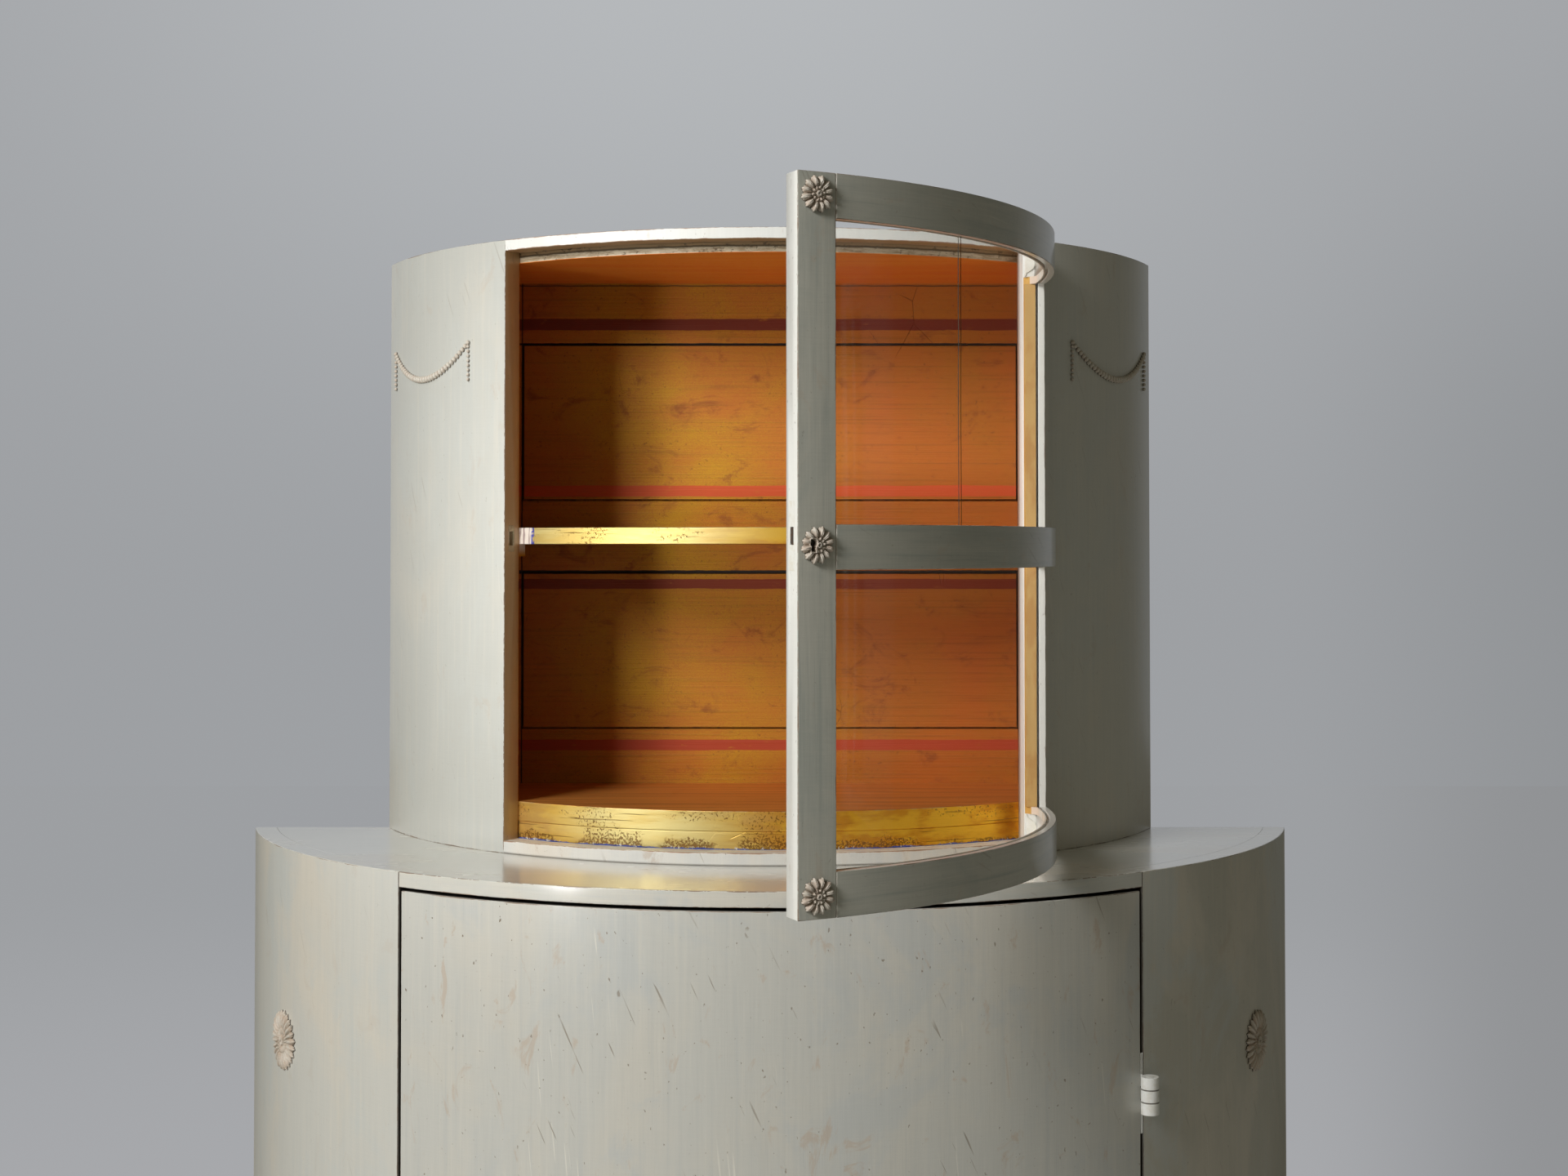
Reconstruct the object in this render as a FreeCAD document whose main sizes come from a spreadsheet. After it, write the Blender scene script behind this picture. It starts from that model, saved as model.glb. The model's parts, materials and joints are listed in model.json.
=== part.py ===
import FreeCAD, Part
import math
import os
import re

# Two-tier bow-front cupboard: a glazed upper cupboard on a wider closed lower one.
# X runs to the right, Y to the back, Z up. The origin is on the floor, in the back plane, on the centre line.
# Both fronts are arcs of a circle, drawn from a centre behind the back plane. Angles along a front are counted
# from the middle of the front, positive to the right.

doc = FreeCAD.newDocument("Cupboard")
sheet = doc.addObject("Spreadsheet::Sheet", "Size")

DRIVING = {
    # lower cupboard
    "low_half": 550.0,          # half of its width at the back
    "low_depth": 427.5,         # depth on the centre line
    "low_height": 850.0,        # floor to the top surface
    "low_wall": 22.0,           # side boards
    "low_top": 20.0,            # top board
    "low_lip": 14.4,            # strip of the top board that shows over the door
    "low_open_half": 343.0,     # half of the door opening, at the front face
    "low_gap": 3.2,             # running gap round the door
    "low_door": 20.0,           # door thickness
    "low_rail": 40.0,           # rail under the door
    "low_bottom": 20.0,         # bottom board
    "low_shelf": 18.0,
    "low_shelf_top": 480.0,     # height of the shelf surface
    "low_back": 14.0,           # back board
    "foot_height": 90.0,        # floor to the underside of the side boards
    "foot_top": 42.0,
    "foot_bottom": 30.0,
    "back_foot_inset": 82.0,    # middle of an outer foot from the cupboard's back corner
    "front_foot_angle": 30.0,
    "front_foot_inset": 52.0,   # from the front face
    # upper cupboard
    "up_half": 408.0,
    "up_depth": 281.0,
    "up_height": 601.4,
    "up_wall": 21.0,
    "up_top": 21.0,
    "up_lip": 10.6,
    "up_base": 12.2,
    "up_open_half": 261.0,
    "up_gap": 1.8,
    "up_door": 19.6,
    "floor_top": 48.7,          # gilded floor above the lower cupboard's top
    "floor_board": 19.4,
    "riser": 18.0,
    "shelf_top": 318.3,
    "shelf_board": 16.3,
    "cleat": 12.0,
    "cleat_start": 0.5,         # from the jamb, in degrees
    "cleat_span": 18.0,         # arc of a shelf cleat in degrees
    "up_back": 16.0,
    "back_top_drop": 85.4,      # underside of the back's top rail below the top
    "back_mid_top": 348.0,
    "back_mid_low": 273.0,
    "back_low_rail": 106.0,     # top of the back's bottom rail
    "back_stile": 264.2,        # inner edge of a back stile
    "groove": 2.2,              # open joint that shows round each back panel
    "groove_deep": 5.0,
    "corner_round": 4.0,        # the back corners are softly rounded
    # glazed door
    "open_angle": 62.3,         # how far it stands open at rest
    "stile": 34.0,
    "rail": 35.5,
    "mid_rail_top": 316.8,
    "mid_rail": 35.3,
    "lip": 6.5,                 # frame in front of the glass
    "rebate": 7.0,
    "glass": 2.5,
    "pane_play": 0.1,
    # ornament
    "rose_radius": 14.2,
    "rose_deep": 3.6,
    "side_rose_radius": 31.0,
    "side_rose_deep": 5.0,
    "side_rose_angle": 58.2,
    "side_rose_drop": 190.0,    # below the lower cupboard's top
    "petal_share": 0.24,        # petal radius over the rosette's radius
    "boss_share": 0.5,
    "boss_top_share": 0.33,
    "petals": 12.0,
    "side_petals": 18.0,
    "swag_outer_angle": 64.9,   # garland ends along the front
    "swag_inner_angle": 43.6,
    "swag_top_drop": 97.9,      # garland ends below the upper cupboard's top
    "swag_droop": 36.0,
    "swag_drop": 37.0,
    "bead_small": 2.0,          # bead radii
    "bead_large": 3.4,
    "bead_seat_share": 0.35,    # how far a bead's centre stands off the wood
    "bead_clear_share": 0.95,   # beads just clear of each other
    # upper hinges
    "up_pin_out": 1.25,         # pin axis from the middle of the gap
    "up_knuckle": 3.0,
    "up_pin": 1.5,
    "up_hinge_tall": 50.0,
    "up_leaf": 1.2,
    "up_leaf_wide": 15.0,
    "up_leaf_let_in": 0.55,
    "up_hinge_inset": 75.0,     # hinge centre from the door's ends
    # lower hinges
    "low_pin_proud": 10.0,
    "low_knuckle": 8.3,
    "low_pin": 3.5,
    "low_knuckle_tall": 34.7,
    "low_hinge_tall": 74.0,
    "low_leaf": 1.2,
    "low_leaf_wide": 19.0,
    "low_hinge_drop": 203.0,    # upper one, below the cupboard's top
    "low_hinge_rise": 160.0,    # lower one, above the door's foot
    "run_play": 0.06,           # running fit of a knuckle on its pin
    "knuckle_play": 0.3,
    # locks
    "lock_height": 307.7,       # upper lock above the lower cupboard's top
    "keyhole_height": 300.6,
    "low_lock_height": 485.0,   # lower lock above the floor
    "case_wide": 24.0,
    "case_tall": 46.0,
    "case_thick": 9.0,
    "case_skin": 5.5,           # wood in front of the case
    "plate_tall": 54.0,
    "plate_wide": 9.6,
    "plate": 1.5,
    "bolt_tall": 13.0,
    "bolt_thick": 5.0,
    "bolt_long": 18.0,
    "bolt_travel": 6.0,
    "bolt_play": 0.4,
    "strike_tall": 26.0,
    "strike_wide": 8.0,
    "strike": 1.2,
    "key_inset": 13.6,          # keyhole from the glazed door's edge
    "key_radius": 2.0,
    "key_slot": 1.5,
    "key_drop": 6.0,
    # play and overruns
    "play": 0.1,                # between pieces that sit in each other
    "fit": 0.3,                 # between a board's edge and the side boards
    "over": 5.0,                # overrun of a cut
}

DERIVED = {
    "low_radius": "(low_half ^ 2 + low_depth ^ 2) / (2 * low_depth)",
    "low_centre": "low_radius - low_depth",
    "low_inner": "low_radius - low_wall - fit",
    "low_jamb": "asin(low_open_half / low_radius) / 1 deg",
    "low_gap_angle": "low_gap / low_radius * 180 / pi",
    "low_edge": "low_jamb - low_gap_angle",
    "low_mid": "low_jamb - low_gap_angle / 2",
    "low_floor": "foot_height + low_rail",
    "low_door_foot": "low_floor + low_gap",
    "back_foot_place": "low_half - back_foot_inset",
    "low_door_head": "low_height - low_lip - low_gap",
    "up_radius": "(up_half ^ 2 + up_depth ^ 2) / (2 * up_depth)",
    "up_centre": "up_radius - up_depth",
    "up_inner": "up_radius - up_wall - fit",
    "up_jamb": "asin(up_open_half / up_radius) / 1 deg",
    "up_gap_angle": "up_gap / up_radius * 180 / pi",
    "up_edge": "up_jamb - up_gap_angle",
    "up_mid": "up_jamb - up_gap_angle / 2",
    "stile_angle": "stile / up_radius * 180 / pi",
    "rebate_angle": "rebate / up_radius * 180 / pi",
    "joint_angle": "play / up_radius * 180 / pi",
    "door_foot": "low_height + up_base + up_gap",
    "door_head": "low_height + up_height - up_lip - up_gap",
    "door_mid": "low_height + mid_rail_top - mid_rail",
    "glass_front": "up_radius - lip - pane_play",
    "door_back": "up_radius - up_door",
    "up_pin_x": "up_radius * sin(up_mid) + up_pin_out * cos(up_mid)",
    "up_pin_y": "up_centre - up_radius * cos(up_mid) + up_pin_out * sin(up_mid)",
    "low_pin_x": "(low_radius + low_pin_proud) * sin(low_mid)",
    "low_pin_y": "low_centre - (low_radius + low_pin_proud) * cos(low_mid)",
    "swing_x": "up_pin_x - up_pin_x * cos(open_angle) + up_pin_y * sin(open_angle)",
    "swing_y": "up_pin_y - up_pin_x * sin(open_angle) - up_pin_y * cos(open_angle)",
    "pane_side": "up_edge - stile_angle",
    "back_top_rail": "up_height - back_top_drop",
    "back_face": "-(up_back + play)",
    "low_back_face": "-(low_back + play)",
}

ALIASES = sorted(list(DRIVING) + list(DERIVED), key=len, reverse=True)
WORD = re.compile(r"\b(" + "|".join(ALIASES) + r")\b")


def on_sheet(text):
    """The expression with each named size read from the sheet."""
    return WORD.sub(lambda found: "Size." + found.group(1), str(text))


row = 1
for name, value in DRIVING.items():
    sheet.set("A" + str(row), name)
    sheet.set("B" + str(row), str(value))
    sheet.setAlias("B" + str(row), name)
    row += 1
for name, formula in DERIVED.items():
    sheet.set("A" + str(row), name)
    sheet.set("B" + str(row), "=" + formula)
    sheet.setAlias("B" + str(row), name)
    row += 1
doc.recompute()


def size(name):
    """A named size as a number, for the pieces that are worked out point by point."""
    return float(sheet.get(name))


def bind(item, prop, text):
    item.setExpression(prop, on_sheet(text))


def place(item, x="0", y="0", z="0", turn="0"):
    item.Placement = FreeCAD.Placement(FreeCAD.Vector(0, 0, 0), FreeCAD.Rotation(FreeCAD.Vector(0, 0, 1), 1))
    bind(item, "Placement.Base.x", x)
    bind(item, "Placement.Base.y", y)
    bind(item, "Placement.Base.z", z)
    bind(item, "Placement.Rotation.Angle", turn)


def barrel(name, radius, height, x, y, z):
    item = doc.addObject("Part::Cylinder", name)
    bind(item, "Radius", radius)
    bind(item, "Height", height)
    place(item, x, y, z)
    return item


def cut(name, base, tool):
    item = doc.addObject("Part::Cut", name)
    item.Base = base
    item.Tool = tool
    return item


def common(name, base, tool):
    item = doc.addObject("Part::Common", name)
    item.Base = base
    item.Tool = tool
    return item


def fuse(name, pieces):
    item = doc.addObject("Part::MultiFuse", name)
    item.Shapes = pieces
    return item


def group(name, pieces):
    item = doc.addObject("Part::Compound", name)
    item.Links = pieces
    return item


def slab(name, x0, x1, y0, y1, z0, z1):
    """A straight board between two corners."""
    item = doc.addObject("Part::Box", name)
    bind(item, "Length", f"{x1} - ({x0})")
    bind(item, "Width", f"{y1} - ({y0})")
    bind(item, "Height", f"{z1} - ({z0})")
    place(item, x0, y0, z0)
    return item


def bent(name, tier, outer, inner, from_angle, to_angle, z0, z1):
    """A curved board: a stretch of a ring round the tier's centre."""
    whole = doc.addObject("Part::Cylinder", name + "_whole")
    bind(whole, "Radius", outer)
    bind(whole, "Height", f"{z1} - ({z0})")
    bind(whole, "Angle", f"{to_angle} - ({from_angle})")
    place(whole, "0", tier + "_centre", z0, f"{from_angle} - 90")
    core = barrel(name + "_core", inner, f"{z1} - ({z0}) + 2 * over", "0", tier + "_centre", f"{z0} - over")
    return cut(name, whole, core)


def block(name, tier, angle, r0, r1, t0, t1, z0, z1):
    """A straight block that faces outwards at an angle: r runs outwards, t along the front."""
    item = doc.addObject("Part::Box", name)
    bind(item, "Length", f"{t1} - ({t0})")
    bind(item, "Width", f"{r1} - ({r0})")
    bind(item, "Height", f"{z1} - ({z0})")
    x = f"({t0}) * cos({angle}) + ({r1}) * sin({angle})"
    y = f"{tier}_centre + ({t0}) * sin({angle}) - ({r1}) * cos({angle})"
    place(item, x, y, z0, angle)
    return item


def bow_board(name, radius, tier, y0, y1, z0, z1):
    """A board with a bowed front edge, cut straight at the back."""
    disc = barrel(name + "_disc", radius, f"{z1} - ({z0})", "0", tier + "_centre", z0)
    frame = slab(name + "_frame", f"-({radius})", radius, y0, y1, z0, z1)
    return common(name, disc, frame)


def node(item, label, swung=False):
    """Names a finished piece, and swings it with the open glazed door."""
    item.Label = label
    if swung:
        place(item, "swing_x", "swing_y", "0", "open_angle")
    PIECES.append(item)
    return item


PIECES = []


def side_board(name, tier, right, z0, z1, cuts):
    """A curved side board, from its jamb to the back plane, with the back corner softened."""
    sign = 1 if right else -1
    ends = (f"{tier}_jamb", "90") if right else ("-90", f"-{tier}_jamb")
    shell = bent(name + "_shell", tier, f"{tier}_radius", f"{tier}_radius - {tier}_wall", *ends, z0, z1)
    sides = ("0", f"{tier}_radius") if right else (f"-{tier}_radius", "0")
    keep = slab(name + "_keep", *sides, f"-{tier}_depth", "0", z0, z1)
    plain = common(name + "_plain", shell, keep)
    doc.recompute()
    near = size("fit")
    corner = 0
    for index, edge in enumerate(plain.Shape.Edges):
        middle = edge.CenterOfMass
        upright = edge.BoundBox.ZLength > size("foot_height")
        if upright and abs(middle.x - sign * size(f"{tier}_half")) < near and abs(middle.y) < near:
            corner = index + 1
    soft = doc.addObject("Part::Fillet", name + "_soft")
    soft.Base = plain
    soft.Edges = [(corner, size("corner_round"), size("corner_round"))]
    if not cuts:
        return soft
    return cut(name + "_cut", soft, fuse(name + "_cuts", cuts) if len(cuts) > 1 else cuts[0])


def knuckle_set(tag, axis_x, axis_y, knuckle, tall, z_mid):
    """The three knuckles of one hinge, the outer two for the door and the middle one for the case."""
    third = f"({tall}) / 3"
    parts = {}
    for index, owner in enumerate(("door_low", "case", "door_high")):
        z0 = f"{z_mid} - ({tall}) / 2 + {index} * {third} + knuckle_play / 2"
        parts[owner] = barrel(f"{tag}_{owner}_knuckle", knuckle, f"{third} - knuckle_play", axis_x, axis_y, z0)
    return parts


# The upper hinges: small, with the knuckle half let into the jamb.
def upper_hinge(tag, z_mid):
    x, y = "up_pin_x", "up_pin_y"
    knuckles = knuckle_set(tag, x, y, "up_knuckle", "up_hinge_tall", z_mid)
    z0 = f"{z_mid} - up_hinge_tall / 2"
    z1 = f"{z_mid} + up_hinge_tall / 2"
    third = "up_hinge_tall / 3"
    back = "up_radius - up_leaf_wide"
    door_t0 = "-(up_gap / 2) - up_leaf_let_in"
    door_t1 = "-(up_gap / 2) - up_leaf_let_in + up_leaf"
    case_t0 = "up_gap / 2 + up_leaf_let_in - up_leaf"
    case_t1 = "up_gap / 2 + up_leaf_let_in"
    reach = "up_radius - up_knuckle - run_play"
    door_plate = block(tag + "_door_plate", "up", "up_mid", back, reach, door_t0, door_t1, z0, z1)
    case_plate = block(tag + "_case_plate", "up", "up_mid", back, reach, case_t0, case_t1, z0, z1)
    tongues = []
    for index, end in enumerate(("low", "high")):
        low = f"{z0} + {2 * index} * {third} + knuckle_play / 2"
        high = f"{low} + {third} - knuckle_play"
        tongues.append(block(f"{tag}_door_tongue_{end}", "up", "up_mid", f"{reach} - play", "up_radius",
                             door_t0, door_t1, low, high))
    low = f"{z0} + {third} + knuckle_play / 2"
    case_tongue = block(tag + "_case_tongue", "up", "up_mid", f"{reach} - play", "up_radius",
                        case_t0, case_t1, low, f"{low} + {third} - knuckle_play")
    bore = barrel(tag + "_bore", "up_pin + run_play", "up_hinge_tall + 2 * over", x, y, f"{z0} - over")
    tight = barrel(tag + "_tight", "up_pin", "up_hinge_tall + 2 * over", x, y, f"{z0} - over")
    door_solid = fuse(tag + "_door_solid", [knuckles["door_low"], knuckles["door_high"], door_plate] + tongues)
    door_leaf = cut(tag + "_door_leaf", door_solid, bore)
    case_solid = fuse(tag + "_case_solid", [knuckles["case"], case_plate, case_tongue])
    case_leaf = cut(tag + "_case_leaf", case_solid, tight)
    pin = barrel(tag + "_pin", "up_pin", "up_hinge_tall", x, y, z0)
    notch_z0 = f"{z0} - play"
    notch_tall = "up_hinge_tall + 2 * play"
    notches = []
    for side, t0, t1 in (("door", f"{door_t0} - play", "0"), ("case", "0", f"{case_t1} + play")):
        pocket = block(f"{tag}_{side}_pocket", "up", "up_mid", f"{back} - play", "up_radius + over",
                       t0, t1, notch_z0, f"{notch_z0} + {notch_tall}")
        hollow = barrel(f"{tag}_{side}_hollow", "up_knuckle + knuckle_play", notch_tall, x, y, notch_z0)
        notches.append(fuse(f"{tag}_{side}_notch", [pocket, hollow]))
    return door_leaf, case_leaf, pin, notches


# The lower hinges: stout knuckles that stand clear of the front, on leaves that lie in the gap.
def lower_hinge(tag, z_mid):
    x, y = "low_pin_x", "low_pin_y"
    knuckles = knuckle_set(tag, x, y, "low_knuckle", "low_knuckle_tall", z_mid)
    z0 = f"{z_mid} - low_hinge_tall / 2"
    z1 = f"{z_mid} + low_hinge_tall / 2"
    knuckle_z0 = f"{z_mid} - low_knuckle_tall / 2"
    third = "low_knuckle_tall / 3"
    back = "low_radius - low_leaf_wide"
    door_t0 = "-(low_gap / 2) + play"
    door_t1 = "-(low_gap / 2) + play + low_leaf"
    case_t0 = "low_gap / 2 - play - low_leaf"
    case_t1 = "low_gap / 2 - play"
    axis = "low_radius + low_pin_proud"
    door_plate = block(tag + "_door_plate", "low", "low_mid", back, "low_radius", door_t0, door_t1, z0, z1)
    case_plate = block(tag + "_case_plate", "low", "low_mid", back, "low_radius", case_t0, case_t1, z0, z1)
    tongues = []
    for index, end in enumerate(("low", "high")):
        low = f"{knuckle_z0} + {2 * index} * {third} + knuckle_play / 2"
        high = f"{low} + {third} - knuckle_play"
        tongues.append(block(f"{tag}_door_tongue_{end}", "low", "low_mid", "low_radius - play", axis,
                             door_t0, door_t1, low, high))
    low = f"{knuckle_z0} + {third} + knuckle_play / 2"
    case_tongue = block(tag + "_case_tongue", "low", "low_mid", "low_radius - play", axis,
                        case_t0, case_t1, low, f"{low} + {third} - knuckle_play")
    bore_z = f"{knuckle_z0} - over"
    bore = barrel(tag + "_bore", "low_pin + run_play", "low_knuckle_tall + 2 * over", x, y, bore_z)
    tight = barrel(tag + "_tight", "low_pin", "low_knuckle_tall + 2 * over", x, y, bore_z)
    door_solid = fuse(tag + "_door_solid", [knuckles["door_low"], knuckles["door_high"], door_plate] + tongues)
    door_leaf = cut(tag + "_door_leaf", door_solid, bore)
    case_solid = fuse(tag + "_case_solid", [knuckles["case"], case_plate, case_tongue])
    case_leaf = cut(tag + "_case_leaf", case_solid, tight)
    pin = barrel(tag + "_pin", "low_pin", "low_knuckle_tall", x, y, knuckle_z0)
    return door_leaf, case_leaf, pin


# A mortise lock in a door's free edge. t runs from the middle of the gap into the door.
def lock(tag, tier, z_mid, key_z, stile_mid):
    angle = f"-{tier}_mid"
    edge = f"{tier}_gap / 2"
    front = f"{tier}_radius - case_skin"
    back = f"{front} - case_thick"
    middle = f"{front} - case_thick / 2"
    plate_in = f"{edge} + plate"
    case_end = f"{plate_in} + case_wide"
    case_z0 = f"{z_mid} - case_tall / 2"
    case_z1 = f"{z_mid} + case_tall / 2"
    plate_z0 = f"{z_mid} - plate_tall / 2"
    plate_z1 = f"{z_mid} + plate_tall / 2"
    bolt_z0 = f"{z_mid} - bolt_tall / 2"
    bolt_z1 = f"{z_mid} + bolt_tall / 2"
    bolt_r0 = f"{middle} - bolt_thick / 2"
    bolt_r1 = f"{middle} + bolt_thick / 2"
    plate_r0 = f"{middle} - plate_wide / 2"
    plate_r1 = f"{middle} + plate_wide / 2"

    case = block(tag + "_case_block", tier, angle, back, front, plate_in, case_end, case_z0, case_z1)
    plate_block = block(tag + "_plate_block", tier, angle, plate_r0, plate_r1, edge, plate_in,
                        plate_z0, plate_z1)
    bolt = block(tag + "_bolt", tier, angle, bolt_r0, bolt_r1, f"{edge} + play",
                 f"{edge} + play + bolt_long", bolt_z0, bolt_z1)
    channel = (angle, f"{bolt_r0} - bolt_play", f"{bolt_r1} + bolt_play")
    channel_z = (f"{bolt_z0} - bolt_play", f"{bolt_z1} + bolt_play")
    way = block(tag + "_way", tier, *channel, f"{edge} - over", f"{edge} + 2 * play + bolt_long", *channel_z)
    case_body = cut(tag + "_case", case, way)
    slot = block(tag + "_slot", tier, *channel, f"{edge} - over", f"{plate_in} + over", *channel_z)
    plate_body = cut(tag + "_plate", plate_block, slot)

    mortise = block(tag + "_mortise", tier, angle, f"{back} - play", f"{front} + play", f"{edge} - over",
                    f"{case_end} + play", f"{case_z0} - play", f"{case_z1} + play")
    plate_bed = block(tag + "_plate_bed", tier, angle, f"{plate_r0} - play", f"{plate_r1} + play",
                      f"{edge} - over", plate_in, f"{plate_z0} - play", f"{plate_z1} + play")
    keyway = keyhole(tag + "_keyway", tier, angle, stile_mid, key_z, middle)
    door_cuts = [mortise, plate_bed, keyway]

    jamb_cuts = []
    depth = f"-({edge}) - bolt_travel - play - bolt_play"
    pocket = block(tag + "_pocket", tier, *channel, depth, "0", *channel_z)
    jamb_cuts.append(pocket)
    return case_body, plate_body, bolt, door_cuts, jamb_cuts


def keyhole(tag, tier, angle, t_mid, z_mid, inner):
    """A keyhole that runs in from the front: a round eye over a slot."""
    outer = f"{tier}_radius + side_rose_deep + over"
    eye = doc.addObject("Part::Cylinder", tag + "_eye")
    bind(eye, "Radius", "key_radius")
    bind(eye, "Height", f"{outer} - ({inner})")
    eye.Placement = FreeCAD.Placement(FreeCAD.Vector(0, 0, 0), FreeCAD.Rotation(FreeCAD.Vector(1, 0, 0), 90))
    turned = group(tag + "_eye_turned", [eye])
    x = f"({t_mid}) * cos({angle}) + ({inner}) * sin({angle})"
    y = f"{tier}_centre + ({t_mid}) * sin({angle}) - ({inner}) * cos({angle})"
    place(turned, x, y, z_mid, angle)
    slot = block(tag + "_slot", tier, angle, inner, outer, f"{t_mid} - key_slot / 2", f"{t_mid} + key_slot / 2",
                 f"{z_mid} - key_drop", z_mid)
    return fuse(tag, [turned, slot])


def rosette(tag, tier, angle, z_mid, radius, deep, petals):
    """A carved flower on the curved front: a ring of petals round a boss, bedded on the wood."""
    flower = doc.addObject("Part::Feature", tag + "_flower")
    reach = size(radius)
    height = size(deep)
    petal = reach * size("petal_share")
    ring = reach - petal
    discs = [Part.makeCylinder(ring, height * 2)]
    count = int(size(petals))
    for index in range(count):
        turn = 2 * math.pi * index / count
        centre = FreeCAD.Vector(ring * math.cos(turn), ring * math.sin(turn), 0)
        discs.append(Part.makeCylinder(petal, height * 2, centre))
    crown = FreeCAD.Vector(0, 0, height * 2)
    boss = Part.makeCone(ring * size("boss_share"), ring * size("boss_top_share"), height / 2, crown)
    solid = discs[0].multiFuse(discs[1:] + [boss]).removeSplitter()
    azimuth = math.radians(angle)
    solid.rotate(FreeCAD.Vector(0, 0, 0), FreeCAD.Vector(1, 0, 0), 90)
    solid.rotate(FreeCAD.Vector(0, 0, 0), FreeCAD.Vector(0, 0, 1), angle)
    seat = size(f"{tier}_radius") - height
    x = seat * math.sin(azimuth)
    y = size(f"{tier}_centre") - seat * math.cos(azimuth)
    solid.translate(FreeCAD.Vector(x, y, z_mid))
    bulk = Part.makeCylinder(size(f"{tier}_radius") + size("play") / 2, 4 * reach)
    bulk.translate(FreeCAD.Vector(0, size(f"{tier}_centre"), z_mid - 2 * reach))
    flower.Shape = solid.cut(bulk)
    return flower


def garland(tag, side):
    """A string of half-round beads: a drooping curve, with a short drop at each end."""
    radius = size("up_radius")
    first = size("swag_outer_angle")
    last = size("swag_inner_angle")
    top = size("low_height") + size("up_height") - size("swag_top_drop")
    small = size("bead_small")
    large = size("bead_large")
    span = math.radians(first - last) * radius
    places = []
    travel = 0.0
    while travel < span:
        share = travel / span
        bead = small + (large - small) * math.sin(math.pi * share)
        drop = size("swag_droop") * (1 - (2 * share - 1) ** 2)
        places.append((first + (last - first) * share, top - drop, bead))
        slope = size("swag_droop") * 4 * (1 - 2 * share) / span
        travel += 2 * bead / math.sqrt(1 + slope * slope)
    for angle in (first, last):
        low = small * 2
        while low < size("swag_drop"):
            places.append((angle, top - low, small))
            low += small * 2
    bulk = Part.makeCylinder(radius + size("play"), size("up_height"))
    bulk.translate(FreeCAD.Vector(0, size("up_centre"), size("low_height")))
    beads = []
    for angle, height, bead in places:
        azimuth = math.radians(angle) * side
        out = radius + bead * size("bead_seat_share")
        centre = FreeCAD.Vector(out * math.sin(azimuth), size("up_centre") - out * math.cos(azimuth), height)
        ball = Part.makeSphere(bead * size("bead_clear_share"))
        ball.rotate(FreeCAD.Vector(0, 0, 0), FreeCAD.Vector(0, 0, 1), math.degrees(azimuth) - 90)
        ball.translate(centre)
        beads.append(ball.cut(bulk))
    item = doc.addObject("Part::Feature", tag)
    item.Shape = Part.makeCompound([solid for bead in beads for solid in bead.Solids])
    return item


# Upper cupboard, carcass.
UP0 = "low_height"
up_hinges = {
    "low": upper_hinge("up_hinge_low", "door_foot + up_hinge_inset"),
    "high": upper_hinge("up_hinge_high", "door_head - up_hinge_inset"),
}
lock_z = "low_height + lock_height"
up_case, up_plate, up_bolt, up_door_cuts, up_jamb_cuts = lock(
    "up_lock", "up", lock_z, "low_height + keyhole_height", "up_gap / 2 + key_inset")

strike_middle = "up_radius - case_skin - case_thick / 2"
strike_angle = "-up_mid"
strike_bed = block("strike_bed", "up", strike_angle, f"{strike_middle} - strike_wide / 2 - play",
                   f"{strike_middle} + strike_wide / 2 + play", "-(up_gap / 2) - strike - play", "0",
                   f"{lock_z} - strike_tall / 2 - play", f"{lock_z} + strike_tall / 2 + play")
strike_block = block("strike_block", "up", strike_angle, f"{strike_middle} - strike_wide / 2",
                     f"{strike_middle} + strike_wide / 2", "-(up_gap / 2) - strike", "-(up_gap / 2) - play",
                     f"{lock_z} - strike_tall / 2", f"{lock_z} + strike_tall / 2")
strike_hole = block("strike_hole", "up", strike_angle, f"{strike_middle} - bolt_thick / 2 - bolt_play",
                    f"{strike_middle} + bolt_thick / 2 + bolt_play", "-(up_gap / 2) - over", "0",
                    f"{lock_z} - bolt_tall / 2 - bolt_play", f"{lock_z} + bolt_tall / 2 + bolt_play")
node(cut("strike_plate", strike_block, strike_hole), "upper_strike_plate")

UP1 = "low_height + up_height"
hinge_beds = [up_hinges["low"][3][1], up_hinges["high"][3][1]]
node(side_board("up_left", "up", False, UP0, UP1, up_jamb_cuts + [strike_bed]), "upper_side_left")
node(side_board("up_right", "up", True, UP0, UP1, hinge_beds), "upper_side_right")

up_roof = bow_board("up_roof", "up_inner", "up", "-up_depth", "0", UP1 + " - up_top", UP1)
up_lip_strip = bent("up_lip_strip", "up", "up_radius", "up_inner - over", "-up_jamb", "up_jamb",
                    UP1 + " - up_lip", UP1)
node(fuse("up_top_board", [up_roof, up_lip_strip]), "upper_top_board")
up_sole = bow_board("up_sole", "up_inner", "up", "-up_depth", "0", UP0, "low_height + up_base")
up_sill_strip = bent("up_sill_strip", "up", "up_radius", "up_inner - over", "-up_jamb", "up_jamb", UP0,
                     "low_height + up_base")
node(fuse("up_base_board", [up_sole, up_sill_strip]), "upper_base_board")

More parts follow.
